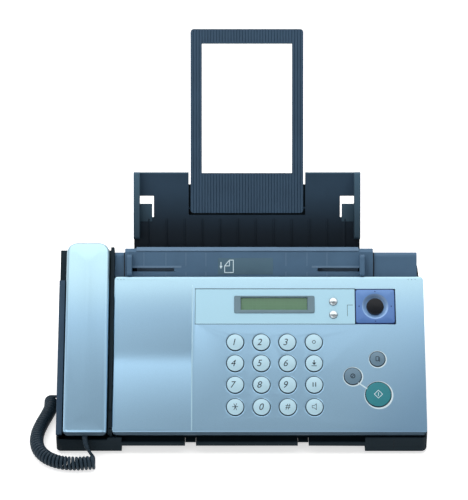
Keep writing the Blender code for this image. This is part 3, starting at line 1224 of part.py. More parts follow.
def add_tube(name, points, resolution, machine):
    """A cord stretch: a round tube through its points, closed at both ends."""
    curve = bpy.data.curves.new(name, "CURVE")
    curve.dimensions = "3D"
    curve.bevel_depth = CORD_RADIUS
    curve.bevel_resolution = resolution
    curve.use_fill_caps = True
    line = curve.splines.new("POLY")
    line.points.add(len(points) - 1)
    for target, point in zip(line.points, points):
        target.co = (*point, 1.0)
    curve.materials.append(finish_material("cord_grey"))
    tube = bpy.data.objects.new(name, curve)
    tube.parent = machine
    bpy.context.collection.objects.link(tube)
    return tube


def handset_cord(machine):
    """The lead from the handset, the curls on the table and the short lead into the base."""
    curls = curl_points()
    exit_y, exit_z = panel_point(HANDSET_FRONT + HANDSET_STEP, CORD_EXIT_HEIGHT)
    outward = np.array([0.0, -math.cos(PANEL_SLOPE), -math.sin(PANEL_SLOPE)])
    leave = np.array([HANDSET_X, exit_y, exit_z]) + outward * FIT_GAP
    into = (curls[1] - curls[0]) / np.linalg.norm(curls[1] - curls[0])
    meet = curls[0] - into * FIT_GAP
    stations = [leave, leave + outward * CORD_DIAMETER, *LEAD_ROUTE, meet - into * CORD_DIAMETER, meet]
    lead = smooth_curve(stations)
    steps = round(curve_length(lead) / LEAD_STEP)
    lead = along_curve(lead, np.linspace(0.0, curve_length(lead), steps + 1))
    onward = (curls[-1] - curls[-2]) / np.linalg.norm(curls[-1] - curls[-2])
    base_start = curls[-1] + onward * FIT_GAP
    base_end = np.array([-BODY_SIDE - JACK_COLLAR_LENGTH - FIT_GAP, base_start[1], base_start[2]])
    print("cord: least gap between curls in mm", round(1000 * least_gap(curls), 3))
    total = curve_length(lead) + curve_length(curls) + float(np.linalg.norm(base_end - base_start))
    print("cord: length in mm", round(1000 * total, 1))
    return [
        add_tube("cord_lead_handset", lead, 2, machine),
        add_tube("cord_curl", curls, 1, machine),
        add_tube("cord_lead_base", np.array([base_start, base_end]), 2, machine),
    ]


def centre_on_footprint(machine, left_out):
    """Move the whole machine so that its zero is below the middle of its box, cords left out."""
    bpy.context.view_layer.update()
    spans = []
    for part in bpy.data.objects:
        if part.type == "MESH" and part not in left_out:
            places = [part.matrix_world @ vertex.co for vertex in part.data.vertices]
            spans.append([(min(p[axis] for p in places), max(p[axis] for p in places)) for axis in range(3)])
    spans = np.array(spans)
    low = spans[:, :, 0].min(axis=0)
    high = spans[:, :, 1].max(axis=0)
    machine.location = (-(low[0] + high[0]) / 2, -(low[1] + high[1]) / 2, -low[2])
    bpy.context.view_layer.update()
    print("machine box in mm", np.round(1000 * low, 2), np.round(1000 * high, 2))


def main():
    """Build every piece in its frame, then centre the machine on its footprint."""
    clear_scene()
    machine = add_empty("machine", None, (0.0, 0.0, 0.0))
    slope = add_empty("cradle_slope", machine, (0.0, PANEL_AXIS_Y, PANEL_AXIS_Z), PANEL_SLOPE)
    pivot = add_empty("panel_axis", machine, (0.0, PANEL_AXIS_Y, PANEL_AXIS_Z), PANEL_SLOPE)
    lean = add_empty("tray_lean", machine, (0.0, TRAY_Y, TRAY_Z), math.pi / 2 - TRAY_LEAN)
    face = add_empty("table_face", machine, (0.0, TABLE_FOOT_Y, TABLE_FOOT_Z), TABLE_SLOPE)
    base_casing(machine)
    feet(machine)
    rear_cover(machine)
    document_table(face)
    hopper_front(machine)
    document_guide("guide_left", face, GUIDE_LEFT_X, 1)
    document_guide("guide_right", face, GUIDE_RIGHT_X - GUIDE_THICKNESS, -1)
    guide_pinion(face)
    paper_tray(lean)
    paper_extension(lean)
    control_panel(pivot)
    display(pivot)
    navigation(pivot)
    keys(pivot)
    panel_board(pivot)
    handset(slope)
    handset_cradle(slope)
    print_chassis(machine)
    print_engine(machine)
    roller("feed_roller", machine, feed_roller_centre(), FEED_ROLLER_RADIUS)
    roller("document_roller", machine, (DOCUMENT_ROLLER_Y, DOCUMENT_ROLLER_Z), DOCUMENT_ROLLER_RADIUS)
    electronics(machine)
    cords = handset_cord(machine)
    centre_on_footprint(machine, cords)


main()
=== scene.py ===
"""Looks of the fax machine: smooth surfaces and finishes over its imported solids.

Places are worked out in four frames: the machine's own, and three slanted ones that run with the key
panel, the paper tray and the document table. In a slanted frame a point is its place across, its
distance up the slope and its height above the slope. Lengths are in metres.
"""
import math
from functools import partial

import bmesh
import bpy
import numpy as np
from bpy.props import FloatProperty, FloatVectorProperty, IntProperty, PointerProperty
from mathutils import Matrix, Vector


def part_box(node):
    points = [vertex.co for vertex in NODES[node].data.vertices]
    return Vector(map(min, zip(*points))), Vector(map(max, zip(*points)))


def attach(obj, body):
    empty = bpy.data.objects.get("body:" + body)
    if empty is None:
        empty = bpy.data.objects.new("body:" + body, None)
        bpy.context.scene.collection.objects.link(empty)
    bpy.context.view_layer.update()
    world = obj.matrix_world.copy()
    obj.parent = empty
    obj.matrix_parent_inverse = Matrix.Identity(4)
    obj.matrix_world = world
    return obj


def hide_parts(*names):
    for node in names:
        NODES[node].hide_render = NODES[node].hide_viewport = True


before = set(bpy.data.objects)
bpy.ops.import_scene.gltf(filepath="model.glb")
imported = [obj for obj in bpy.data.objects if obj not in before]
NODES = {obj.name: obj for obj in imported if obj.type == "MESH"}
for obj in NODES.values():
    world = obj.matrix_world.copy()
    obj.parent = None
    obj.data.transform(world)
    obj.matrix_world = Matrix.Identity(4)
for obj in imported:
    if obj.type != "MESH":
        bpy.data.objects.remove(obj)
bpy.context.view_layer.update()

bl_info = {
    "name": "Fax machine looks",
    "version": (1, 0, 0),
    "blender": (4, 5, 0),
    "location": "3D View > Sidebar > Fax machine",
    "description": "Dresses the solids of a fax machine in smooth surfaces, marks and finishes",
    "category": "Object",
}

# Frames: the machine's zero is at the front of the base, below the middle of the body
BODY_SIDE = 0.1875
ZERO_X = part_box("control_panel")[1][0] - BODY_SIDE
ZERO_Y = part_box("base_casing")[0][1]
PANEL_AXIS = (0.0056, 0.0235)
PANEL_SLOPE = math.radians(40.0)
PANEL_TOP = 0.004
PANEL_REAR = 0.164
TABLE_AXIS = (0.13596, 0.12198)
TABLE_SLOPE = math.atan2(0.025, 0.016)
TRAY_AXIS = (0.17996, 0.14798)
TRAY_SLOPE = math.radians(60.0)
TRAY_CENTRE = 0.006


def slanted(points, axis, slope):
    """World places of points given across, up a slope and above it."""
    points = np.asarray(points, dtype=float)
    across, along, height = points[..., 0], points[..., 1], points[..., 2]
    back = ZERO_Y + axis[0] + along * math.cos(slope) - height * math.sin(slope)
    up = axis[1] + along * math.sin(slope) + height * math.cos(slope)
    return np.stack([across + ZERO_X, back, up], axis=-1)


# World places of points in the frames of the key panel, the paper tray, the document table and the machine
on_panel = partial(slanted, axis=PANEL_AXIS, slope=PANEL_SLOPE)
on_tray = partial(slanted, axis=TRAY_AXIS, slope=TRAY_SLOPE)
on_table = partial(slanted, axis=TABLE_AXIS, slope=TABLE_SLOPE)
on_machine = partial(slanted, axis=(0.0, 0.0), slope=0.0)


def from_top(distance):
    """Place up the panel's slope of a point given by its distance from the panel's top edge."""
    return PANEL_REAR - distance


# Surfaces, each as its points and its faces, and how finely their curves are cut
QUARTER = math.pi / 2
CORNER_STEPS = 6
EDGE_POINTS = 5
FILLET_POINTS = 6
CROWN_POINTS = 10
CROWN_MIDDLE = 0.02


def ring_grid(rings):
    """Points of rings of equal counts, and the numbers of the points, one row for each ring."""
    rings = np.asarray(rings, dtype=float)
    return rings.reshape(-1, 3), np.arange(rings.shape[0] * rings.shape[1]).reshape(rings.shape[:2])


def quads(lower, upper):
    """Four-sided faces that join rings to the rings above them."""
    corners = [lower, np.roll(lower, -1, axis=1), np.roll(upper, -1, axis=1), upper]
    return np.stack(corners, axis=-1).reshape(-1, 4).tolist()


def skin(rings):
    """A closed surface: each ring is joined to the next, and the first and the last are flat ends."""
    points, index = ring_grid(rings)
    return points, quads(index[:-1], index[1:]) + [index[0][::-1].tolist(), index[-1].tolist()]


def band(rings):
    """A ring-shaped surface: each ring is joined to the next, and the last to the first."""
    points, index = ring_grid(rings)
    return points, quads(index, np.roll(index, -1, axis=0))


def joined(surfaces):
    """Several surfaces as one."""
    points, faces, start = [], [], 0
    for places, corners in surfaces:
        points.append(places)
        faces += [[corner + start for corner in face] for face in corners]
        start += len(places)
    return np.concatenate(points), faces


def level(plan, height):
    """Flat points of (across, along) at a height."""
    return np.column_stack([plan, np.full(len(plan), height)])


def circle(segments):
    """Cosines and sines round a circle, one row for each of its points."""
    angle = 2 * math.pi * np.arange(segments) / segments
    return np.column_stack([np.cos(angle), np.sin(angle)])


def turned(profile, centre, segments):
    """Rings of a profile of (radius, height) turned round an upright axis through a centre."""
    profile = np.asarray(profile, dtype=float)
    flat = profile[:, None, 0, None] * circle(segments)[None] + np.asarray(centre, dtype=float)
    height = np.broadcast_to(profile[:, None, 1, None], flat.shape[:2] + (1,))
    return np.concatenate([flat, height], axis=-1)


def rounded(left, right, low, high, radius, steps=CORNER_STEPS):
    """Outline of a rectangle whose corners are quarter circles."""
    turn = np.linspace(0.0, QUARTER, steps + 1)
    corners = ((right - radius, high - radius, 0), (left + radius, high - radius, 1),
               (left + radius, low + radius, 2), (right - radius, low + radius, 3))
    arcs = []
    for x, y, quarter in corners:
        angle = turn + quarter * QUARTER
        arcs.append(np.column_stack([x + radius * np.cos(angle), y + radius * np.sin(angle)]))
    return np.concatenate(arcs)


def slab(left, right, low, high, radius, foot, top, edge):
    """Rings of a flat plate with round corners, whose upper edge is a quarter circle."""
    turn = np.linspace(0.0, QUARTER, EDGE_POINTS)
    insets = np.concatenate([[0.0], edge * (1 - np.cos(turn))])
    heights = np.concatenate([[foot], top - edge + edge * np.sin(turn)])
    plans = [rounded(left + inset, right - inset, low + inset, high - inset, max(radius - inset, radius / 8))
             for inset in insets]
    return np.array([level(plan, height) for plan, height in zip(plans, heights)])


def fillet(radius, height, edge):
    """Profile points of a quarter circle from a wall at a radius to a flat top."""
    turn = np.linspace(0.0, QUARTER, FILLET_POINTS)
    return np.column_stack([radius - edge + edge * np.cos(turn), height - edge + edge * np.sin(turn)])


def domed(radius, top, edge, rise):
    """Profile points of a button's upper edge and its crown, which falls with the square of the radius."""
    share = np.linspace(1.0, CROWN_MIDDLE, CROWN_POINTS)[1:]
    crown = np.column_stack([(radius - edge) * share, top + rise * (1 - share ** 2)])
    return np.concatenate([fillet(radius, top, edge), crown])


def prism(outline, stations):
    """Rings of an outline of (along, height) points carried straight across from station to station."""
    outline = np.asarray(outline, dtype=float)
    return np.array([np.column_stack([np.full(len(outline), across), outline]) for across in stations])


def swept(path, radius, sides):
    """Rings of a round tube along a path: each ring is turned as little as the path's own turning."""
    path = np.asarray(path, dtype=float)
    ahead = np.gradient(path, axis=0)
    ahead /= np.linalg.norm(ahead, axis=1)[:, None]
    first = np.cross(ahead[0], (0.0, 0.0, 1.0) if abs(ahead[0][2]) < 0.9 else (1.0, 0.0, 0.0))
    side = np.empty_like(path)
    side[0] = first / np.linalg.norm(first)
    for step in range(1, len(path)):
        leaning = side[step - 1] - ahead[step] * side[step - 1].dot(ahead[step])
        side[step] = leaning / np.linalg.norm(leaning)
    other = np.cross(ahead, side)
    turn = circle(sides)
    reach = np.broadcast_to(np.asarray(radius, dtype=float), (len(path),))[:, None, None]
    around = turn[None, :, :1] * side[:, None] + turn[None, :, 1:] * other[:, None]
    return path[:, None] + reach * around


# Pieces: the slot of each finish, and how the copies of solids are merged and rounded
MARK_SHARP = 30.0
SHELL_SHARP = 38.0
MERGED_WITHIN = 2e-6
FLAT_WITHIN = math.radians(0.5)
ROUNDED_FROM = 0.005
ROUNDING_ROOM = 2.4


def show(name, mesh, finish, body, nodes, sharp):
    """Put a mesh, smooth but for sharp edges, into the scene as a piece that rides on a body and stands for nodes."""
    mesh.shade_smooth()
    mesh.set_sharp_from_angle(angle=math.radians(sharp))
    mesh.materials.clear()
    mesh.materials.append(FINISHES[finish])
    piece = bpy.data.objects.new(name, mesh)
    bpy.context.scene.collection.objects.link(piece)
    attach(piece, body)
    if nodes:
        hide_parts(*nodes)
    return piece


def add_piece(name, surface, finish, body, nodes=(), sharp=MARK_SHARP):
    """Show a surface as a piece, with its faces turned outwards."""
    points, faces = surface
    mesh = bpy.data.meshes.new(name)
    mesh.from_pydata(np.asarray(points).tolist(), [], faces)
    shape = bmesh.new()
    shape.from_mesh(mesh)
    bmesh.ops.recalc_face_normals(shape, faces=shape.faces)
    shape.to_mesh(mesh)
    shape.free()
    return show(name, mesh, finish, body, nodes, sharp)


def add_marks(name, marks, place, finish, body):
    """Show flat marks as one piece, put into the world by a frame's function."""
    points, faces = joined(marks)
    return add_piece(name, (place(points), faces), finish, body)


def read(items, name, width=1, kind=float):
    """A value, or a row of values, of each item of a mesh."""
    values = np.empty(width * len(items), dtype=kind)
    items.foreach_get(name, values)
    return values.reshape(-1, width) if width > 1 else values


def face_places(mesh, axis, slope):
    """Places across, up a slope and above it of the middles of a mesh's faces."""
    across, back, up = (read(mesh.polygons, "center", 3) - (ZERO_X, ZERO_Y + axis[0], axis[1])).T
    along = back * math.cos(slope) + up * math.sin(slope)
    return across, along, up * math.cos(slope) - back * math.sin(slope)


def more_finishes(mesh, finishes, index):
    """Add finishes to a mesh, and give each face the one that its index names."""
    for finish in finishes:
        mesh.materials.append(FINISHES[finish])
    mesh.polygons.foreach_set("material_index", np.asarray(index).astype(np.int32))


def roundable(mesh, width):
    """True for each sharp, long edge with no short edge at its ends and no thin face beside it."""
    ends = read(mesh.edges, "vertices", 2, int)
    corners = read(mesh.vertices, "co", 3)[ends]
    length = np.linalg.norm(corners[:, 1] - corners[:, 0], axis=1)
    shortest = np.full(len(mesh.vertices), np.inf)
    np.minimum.at(shortest, ends.ravel(), np.repeat(length, 2))
    counts = read(mesh.polygons, "loop_total", kind=int)
    edge_of = read(mesh.loops, "edge_index", kind=int)
    face_of = np.repeat(np.arange(len(counts)), counts)
    around = np.bincount(face_of, length[edge_of], len(counts))
    thinnest = np.full(len(mesh.edges), np.inf)
    np.minimum.at(thinnest, edge_of, (2 * read(mesh.polygons, "area") / around)[face_of])
    sharp_edge = read(mesh.attributes["sharp_edge"].data, "value", kind=bool)
    room = ROUNDING_ROOM * width
    return sharp_edge & (length > ROUNDED_FROM) & (np.min(shortest[ends], axis=1) > room) & (thinnest > room)


def dressed(node, finish, body, width, slot=None):
    """A copy of a solid with its triangles merged to flat faces and its longer edges rounded."""
    shape = bmesh.new()
    shape.from_mesh(NODES[node].data)
    bmesh.ops.remove_doubles(shape, verts=shape.verts, dist=MERGED_WITHIN)
    bmesh.ops.dissolve_limit(shape, angle_limit=FLAT_WITHIN, verts=shape.verts, edges=shape.edges)
    mesh = bpy.data.meshes.new(node + "_shell")
    shape.to_mesh(mesh)
    shape.free()
    piece = show(node + "_shell", mesh, finish, body, (node,), SHELL_SHARP)
    if width:
        weight = mesh.attributes.new("bevel_weight_edge", "FLOAT", "EDGE")
        weight.data.foreach_set("value", roundable(mesh, width).astype(float))
        rounding = piece.modifiers.new("rounded_edges", "BEVEL")
        rounding.limit_method = "WEIGHT"
        rounding.width = width
        rounding.segments = 2
        rounding.use_clamp_overlap = False
    steady = piece.modifiers.new("steady_shading", "WEIGHTED_NORMAL")
    steady.weight = 100
    steady.keep_sharp = True
    return piece


# Finishes: a noise is given by its lumps to a metre and its detail
NOISE_SPAN = (0.3, 0.7)
EVEN = (1.0, 1.0, 1.0)
GRAIN_STRENGTH = 0.6
FINE_GRAIN = 2400.0
SMOOTH_DEPTH = 0.00001
MARK_DEPTH = 0.000005
# Painted light and shade on finishes: places of the least and the full colour, the least share, and an axis other
# than upwards
# The panel's silver: whiter towards the top, a painted highlight, and darker towards its lower right corner, a
# painted shade
PAINTED_PANEL_HIGHLIGHT = (0.100, 0.140, (0.806, 0.870, 1.0))
PAINTED_CORNER_SHADE = (0.160, 0.050, (0.77, 0.82, 0.88), (1.0, 0.0, -1.0))
PAINTED_TRAY_SHADE = (0.145, 0.200, 0.2)
PAINTED_WALL_SHADE = (0.130, 0.220, 0.3)
PAINTED_NAV_SHADE = (0.0985, 0.1240, (0.72, 0.78, 0.89))
PAINTED_DISH_SHADE = (0.1185, 0.1065, 0.45)


def wire(tree, node, inputs):
    """Set each named input of a node to a value, or link it to an output."""
    for name, value in inputs.items():
        if isinstance(value, bpy.types.NodeSocket):
            tree.links.new(value, node.inputs[name])
        else:
            node.inputs[name].default_value = value
    return node


def add_node(tree, kind, inputs, **settings):
    """A new shader node of a kind, with its settings and its inputs."""
    node = tree.nodes.new("ShaderNode" + kind)
    for name, value in settings.items():
        setattr(node, name, value)
    return wire(tree, node, inputs)


def new_finish(name):
    """An empty material with its node tree and its main shader."""
    finish = bpy.data.materials.new(name)
    finish.use_nodes = True
    return finish, finish.node_tree, finish.node_tree.nodes["Principled BSDF"]


def own_place(tree):
    """The piece's own coordinates."""
    return add_node(tree, "TexCoord", {}).outputs["Object"]


def noise(tree, scale, detail=2.0, stretch=EVEN):
    """Soft noise on the piece's own coordinates, with so many lumps to a metre."""
    mapping = add_node(tree, "Mapping", {"Vector": own_place(tree), "Scale": stretch})
    texture = add_node(tree, "TexNoise", {"Vector": mapping.outputs["Vector"], "Scale": scale, "Detail": detail})
    return texture.outputs["Fac"]


def ramp(tree, factor, colours, places=(0.0, 1.0), blend="LINEAR"):
    """A colour that goes from the first of two colours to the second as a factor goes between two places."""
    node = add_node(tree, "ValToRGB", {"Fac": factor})
    node.color_ramp.interpolation = blend
    for element, place, tone in zip(node.color_ramp.elements, places, colours):
        element.position = place
        element.color = [*tone, 1.0]
    return node.outputs["Color"]


def ranged(tree, factor, low, high):
    """A number that goes from low to high as a noise goes through its span."""
    scaled = add_node(tree, "MapRange", {"Value": factor, "From Min": NOISE_SPAN[0], "From Max": NOISE_SPAN[1],
                                         "To Min": low, "To Max": high})
    return scaled.outputs["Result"]


def bumped(tree, factor, depth, strength):
    """The surface's direction, as a factor raises and lowers the surface by a depth in metres."""
    return add_node(tree, "Bump", {"Height": factor, "Strength": strength, "Distance": depth}).outputs["Normal"]


def grained(name, colour, tint, sheen, rise=None, sockets=None, stretch=EVEN):
    """A finish whose noises tint its colour, change its roughness and raise its surface.

    tint is a noise and a share of the colour, sheen a noise, the least roughness and the most, and rise a noise,
    a depth and a strength."""
    finish, tree, shader = new_finish(name)
    tones = [[value * share for value in colour] for share in (1 - tint[2], 1 + tint[2])]
    inputs = {"Base Color": ramp(tree, noise(tree, *tint[:2], stretch), tones, NOISE_SPAN),
              "Roughness": ranged(tree, noise(tree, *sheen[:2], stretch), *sheen[2:])}
    if rise:
        inputs["Normal"] = bumped(tree, noise(tree, *rise[:2], stretch), *rise[2:])
    wire(tree, shader, {**inputs, **(sockets or {})})
    return finish


def moulded(name, colour, roughness, grain=1600.0, depth=0.00003, spread=0.06, shine=0.2):
    """Moulded plastic: spark-eroded grain, faint broad shades and a sheen that changes with the grain."""
    return grained(name, colour, (40.0, 3.0, spread), (grain, 3.0, roughness - 0.06, roughness + 0.06),
                   (grain, 3.0, depth, GRAIN_STRENGTH), {"Specular IOR Level": shine})


def flake_paint(name, colour, roughness, metallic, spread=0.07):
    """Silver paint on plastic: fine flakes in the colour and the sheen, under a thin clear film."""
    film = {"Metallic": metallic, "Coat Weight": 0.12, "Coat Roughness": 0.25}
    return grained(name, colour, (2600.0, 4.0, spread), (700.0, 2.0, roughness - 0.03, roughness + 0.03),
                   (2600.0, 4.0, 0.000008, 0.4), film)


def rubbery(name, colour, roughness):
    """Ground rubber: rough grain and dusty lighter patches."""
    return grained(name, colour, (120.0, 4.0, 0.3), (900.0, 6.0, roughness - 0.1, roughness + 0.1),
                   (900.0, 6.0, 0.00008, GRAIN_STRENGTH))


def rolled_steel(name, colour, roughness):
    """Rolled sheet steel: fine lines along the sheet in its sheen and its height."""
    return grained(name, colour, (300.0, 5.0, 0.1), (300.0, 5.0, roughness - 0.1, roughness + 0.12),
                   (300.0, 5.0, 0.00001, GRAIN_STRENGTH), {"Metallic": 1.0}, (1.0, 12.0, 12.0))


def plated(name, colour, roughness):
    """Plated plastic: bright, with a slight unevenness in its sheen."""
    return grained(name, colour, (500.0, 3.0, 0.05), (500.0, 3.0, roughness - 0.05, roughness + 0.05),
                   sockets={"Metallic": 1.0})


def celled(name, colour, shares, scale, gap, offset, sheen, depth=0.0, sockets=None):
    """A finish in rows of cells: the colour and a share of it take turns, with another share in the gaps.

    sheen is the lumps of a noise to a metre, the least roughness and the most. The gaps rise by a depth."""
    finish, tree, shader = new_finish(name)
    tones = [[min(1.0, value * share) for value in colour] + [1.0] for share in (1.0, *shares)]
    inputs = dict(zip(("Color1", "Color2", "Mortar"), tones))
    cells = add_node(tree, "TexBrick", {**inputs, "Vector": own_place(tree), "Scale": scale, "Mortar Size": gap},
                     offset=offset)
    wire(tree, shader, {"Base Color": cells.outputs["Color"],
                        "Roughness": ranged(tree, noise(tree, sheen[0]), *sheen[1:]), **(sockets or {})})
    if depth:
        wire(tree, shader, {"Normal": bumped(tree, cells.outputs["Fac"], depth, GRAIN_STRENGTH)})
    return finish


def circuit(name, colour):
    """A circuit board: solder mask over straight tracks that show as lighter, raised lines."""
    return celled(name, colour, (0.8, 2.2), 160.0, 0.03, 0.5, (300.0, 0.3, 0.45), 0.00003)


def crystal(name, colour):
    """A liquid crystal cell: faint rows of character cells in a grey-green glass."""
    return celled(name, colour, (0.96, 1.06), 120.0, 0.02, 0.0, (200.0, 0.18, 0.26),
                  sockets={"Coat Weight": 0.15, "Coat Roughness": 0.1})


def shaded(finish, low, high, least, axis=(0.0, 0.0, 1.0)):
    """Take a finish's colour down to a share, or to one for each channel, as its place on an axis goes from high
    to low. This paints light and shade into the colour."""
    tree = finish.node_tree
    colour = tree.nodes["Principled BSDF"].inputs["Base Color"]
    distance = add_node(tree, "VectorMath", {0: own_place(tree), 1: axis}, operation="DOT_PRODUCT")
    share = add_node(tree, "MapRange", {"Value": distance.outputs["Value"], "From Min": low, "From Max": high})
    tone = ramp(tree, share.outputs["Result"], (np.broadcast_to(least, 3), EVEN), blend="EASE")
    scaled = add_node(tree, "VectorMath", {0: colour.links[0].from_socket, 1: tone}, operation="MULTIPLY")
    tree.links.new(scaled.outputs["Vector"], colour)
    return finish


FINISHES = {}


def make_finishes(look):
    """Make every finish of the machine once, from the colours that the user may change."""
    FINISHES.update({
        # The silver paint is whiter towards the top, a painted highlight, and darker towards the panel's lower right
        # corner, a painted shade
        "silver": shaded(shaded(flake_paint("silver_paint_light_and_shade", look.silver, 0.31, 0.8), *PAINTED_PANEL_HIGHLIGHT), *PAINTED_CORNER_SHADE),
        "grey_blue": moulded("grey_blue_plastic", look.grey_blue, 0.5),
        # A lighter copy of the grey blue: the hopper's lip, and painted highlights on the table's ribs and along its
        # slots' lips
        "lip": moulded("feeder_lip_and_highlights", look.lip, 0.45),
        "label": moulded("feeder_label", look.label, 0.5, FINE_GRAIN, SMOOTH_DEPTH),
        "dark": moulded("dark_plastic", look.dark, 0.5, shine=0.08),
        # A darker copy of the silver on faces that point forwards at the front of the panel and the handset: painted
        # shade
        "nose": moulded("panel_nose", look.nose, 0.45),
        # The tray's plastic darkens towards its foot: painted shade in the pocket behind the hopper's lip
        "tray": shaded(moulded("tray_plastic", look.tray, 0.5, shine=0.1), *PAINTED_TRAY_SHADE),
        # A lighter copy of the tray's plastic on its side walls, upper edge and tabs, a painted highlight; it too
        # darkens towards its foot, a painted shade
        "tray_wall": shaded(moulded("tray_wall_plastic", look.tray_wall, 0.5, shine=0.1), *PAINTED_WALL_SHADE),
        "extension": moulded("extension_plastic", look.extension, 0.5),
        "display": flake_paint("display_blue", look.display, 0.38, 0.1, 0.03),
        "bezel": moulded("bezel_grey", look.bezel, 0.45, 2200.0),
        "crystal": crystal("lcd_glass", look.crystal),
        # The pad's blue darkens towards its lower edge, a painted shade
        "nav": shaded(flake_paint("nav_blue", look.nav, 0.36, 0.15, 0.04), *PAINTED_NAV_SHADE),
        "nav_edge": moulded("nav_edge_navy", look.nav_edge, 0.4),
        # The dish darkens towards its upper side, a painted shade on its upper wall
        "nav_ring": shaded(flake_paint("nav_dish_painted_shade", look.nav_ring, 0.32, 0.1, 0.03), *PAINTED_DISH_SHADE),
        "black": moulded("button_black", look.black, 0.28, FINE_GRAIN, SMOOTH_DEPTH),
        "key_pale": flake_paint("key_pale", look.key_pale, 0.38, 0.1, 0.03),
        "key_grey": flake_paint("key_grey", look.key_grey, 0.4, 0.1, 0.05),
        "key_teal": moulded("key_teal", look.key_teal, 0.36, FINE_GRAIN, SMOOTH_DEPTH),
        "chrome": plated("key_chrome", look.chrome, 0.22),
        "rubber": rubbery("rubber_black", (0.015, 0.015, 0.016), 0.8),
        "roller": rubbery("roller_rubber", (0.03, 0.03, 0.032), 0.7),
        "steel": rolled_steel("sheet_steel", (0.45, 0.47, 0.48), 0.4),
        "bright_steel": rolled_steel("bright_steel", (0.6, 0.6, 0.6), 0.25),
        "board": circuit("board_green", (0.02, 0.12, 0.05)),
        "cord": moulded("cord_grey", look.cord, 0.42, FINE_GRAIN, SMOOTH_DEPTH),
        "nylon": moulded("white_nylon", (0.7, 0.7, 0.68), 0.5),
        # White print, and the pale crescents round the grey and teal keys, which are painted highlights
        "white_mark": moulded("white_mark", look.white_mark, 0.5, FINE_GRAIN, MARK_DEPTH, 0.02),
        # Dark print, dark joints, and painted shadow: the handset's sound holes and the wider top line round the
        # screen's plate
        "dark_mark": moulded("dark_mark", look.dark_mark, 0.5, FINE_GRAIN, MARK_DEPTH, 0.05),
        # Also painted shade on the key caps' walls, on the strips between the louvres and in the screws' crosses
        "groove": moulded("groove_shadow", look.groove, 0.6, FINE_GRAIN, MARK_DEPTH, 0.05),
    })


def colour(name, words, value):
    """A colour that the user may change, in linear red, green and blue."""
    return FloatVectorProperty(name=name, description=words, subtype="COLOR", size=3, min=0.0, max=1.0, default=value)


class FaxLook(bpy.types.PropertyGroup):
    """Colours and sizes of the fax machine's looks."""

    # Full colour of the paint at the top; lower down and towards the panel's lower right corner it takes painted
    # shade
    silver: colour("Silver", "Panel and handset paint", (0.403, 0.61, 0.71))
    grey_blue: colour("Grey blue", "Covers and feeder", (0.078, 0.152, 0.245))
    # Also painted highlights on the table's ribs and along its slots' lips
    lip: colour("Feeder lip", "Bright edges of the feeder", (0.14, 0.23, 0.34))
    label: colour("Feeder label", "Bare label on the table", (0.083, 0.155, 0.211))
    dark: colour("Dark", "Base, cradle and guides", (0.012, 0.022, 0.030))
    # A darker copy of the silver: painted shade on the front edges of the panel and the handset
    nose: colour("Panel edge", "Front edge of the key panel", (0.06, 0.105, 0.15))
    # Full colour of the tray at its top; it darkens towards its foot as a painted shade
    tray: colour("Tray", "Paper tray", (0.026, 0.052, 0.085))
    # A lighter copy of the tray's colour: a painted highlight on its walls, upper edge and tabs
    tray_wall: colour("Tray walls", "Side walls and tabs of the paper tray", (0.060, 0.115, 0.165))
    extension: colour("Extension", "Paper extension", (0.034, 0.069, 0.114))
    display: colour("Display plate", "Pale plate round the screen", (0.42, 0.70, 0.85))
    bezel: colour("Bezel", "Frame of the screen", (0.17, 0.26, 0.31))
    crystal: colour("Screen", "Liquid crystal cell", (0.093, 0.215, 0.12))
    # Full colour of the pad at its upper edge; it darkens towards its lower edge as a painted shade
    nav: colour("Navigation pad", "Face of the four-way pad", (0.108, 0.244, 0.553))
    nav_edge: colour("Navigation edge", "Sides of the four-way pad", (0.03, 0.055, 0.17))
    # Full colour of the dish at its lower side; it darkens towards its upper side as a painted shade
    nav_ring: colour("Navigation dish", "Dish round the centre button", (0.26, 0.46, 0.80))
    black: colour("Centre button", "Button of the four-way pad", (0.006, 0.008, 0.012))
    key_pale: colour("Pale keys", "Number and function keys", (0.50, 0.74, 0.86))
    key_grey: colour("Grey keys", "Copy and stop keys", (0.135, 0.235, 0.32))
    key_teal: colour("Start key", "Large key", (0.040, 0.245, 0.29))
    chrome: colour("Plated keys", "Two small keys", (0.55, 0.62, 0.66))
    cord: colour("Cord", "Handset cord", (0.018, 0.036, 0.055))
    # The rings are the pale crescents round the grey and teal keys, painted highlights; the rest is print
    white_mark: colour("White marks", "Rings and lines on the panel", (0.72, 0.88, 0.95))
    # Also the joints round the screen's plate, the top one wider as a painted shadow, and the handset's sound holes,
    # dark discs as painted shadow
    dark_mark: colour("Dark marks", "Digits and signs on the keys", (0.02, 0.03, 0.045))
    # Also painted shade on the key caps' walls, between the louvres and in the screws' crosses
    groove: colour("Grooves", "Gap round each key", (0.035, 0.060, 0.085))
    edge: FloatProperty(name="Edge", description="Rounding of the covers' edges", default=0.0005, min=0.0,
                        max=0.002, unit="LENGTH")
    key_crown: FloatProperty(name="Key crown", description="Rise of a key's middle over its edge", default=0.0006,
                             min=0.0, max=0.002, unit="LENGTH")
    segments: IntProperty(name="Segments", description="Points round a key", default=64, min=24, max=128)


# Stage: the camera looks along +Y, down on the front of the machine
CAMERA_ELEVATION = math.radians(31.16)
CAMERA_LENS = 170.2
CAMERA_SENSOR = 36.0
CAMERA_OFFSETS = (0.0075, -0.2062, 2.395)
# Lamps: name, place, point they face, size, power in watts
LAMPS = (
    ("overhead", (-0.1, 0.215, 0.80), (-0.1, 0.215, 0.0), (1.5, 1.1), 8.5),
    ("front_fill", (-0.9, -1.9, 1.1), (0.0, 0.0, 0.1), (1.2, 1.2), 8.0),
)
WHITE = (1.0, 1.0, 1.0, 1.0)
WORLD_LIGHT = 0.32
CEILING_FROM = 0.35
CEILING_FULL = 0.75
FLOOR_SIDE = 14.0
FLOOR_COLOUR = (0.9, 0.9, 0.9, 1.0)
FLOOR_ROUGHNESS = 0.9
FLOOR_GLOW = 0.6


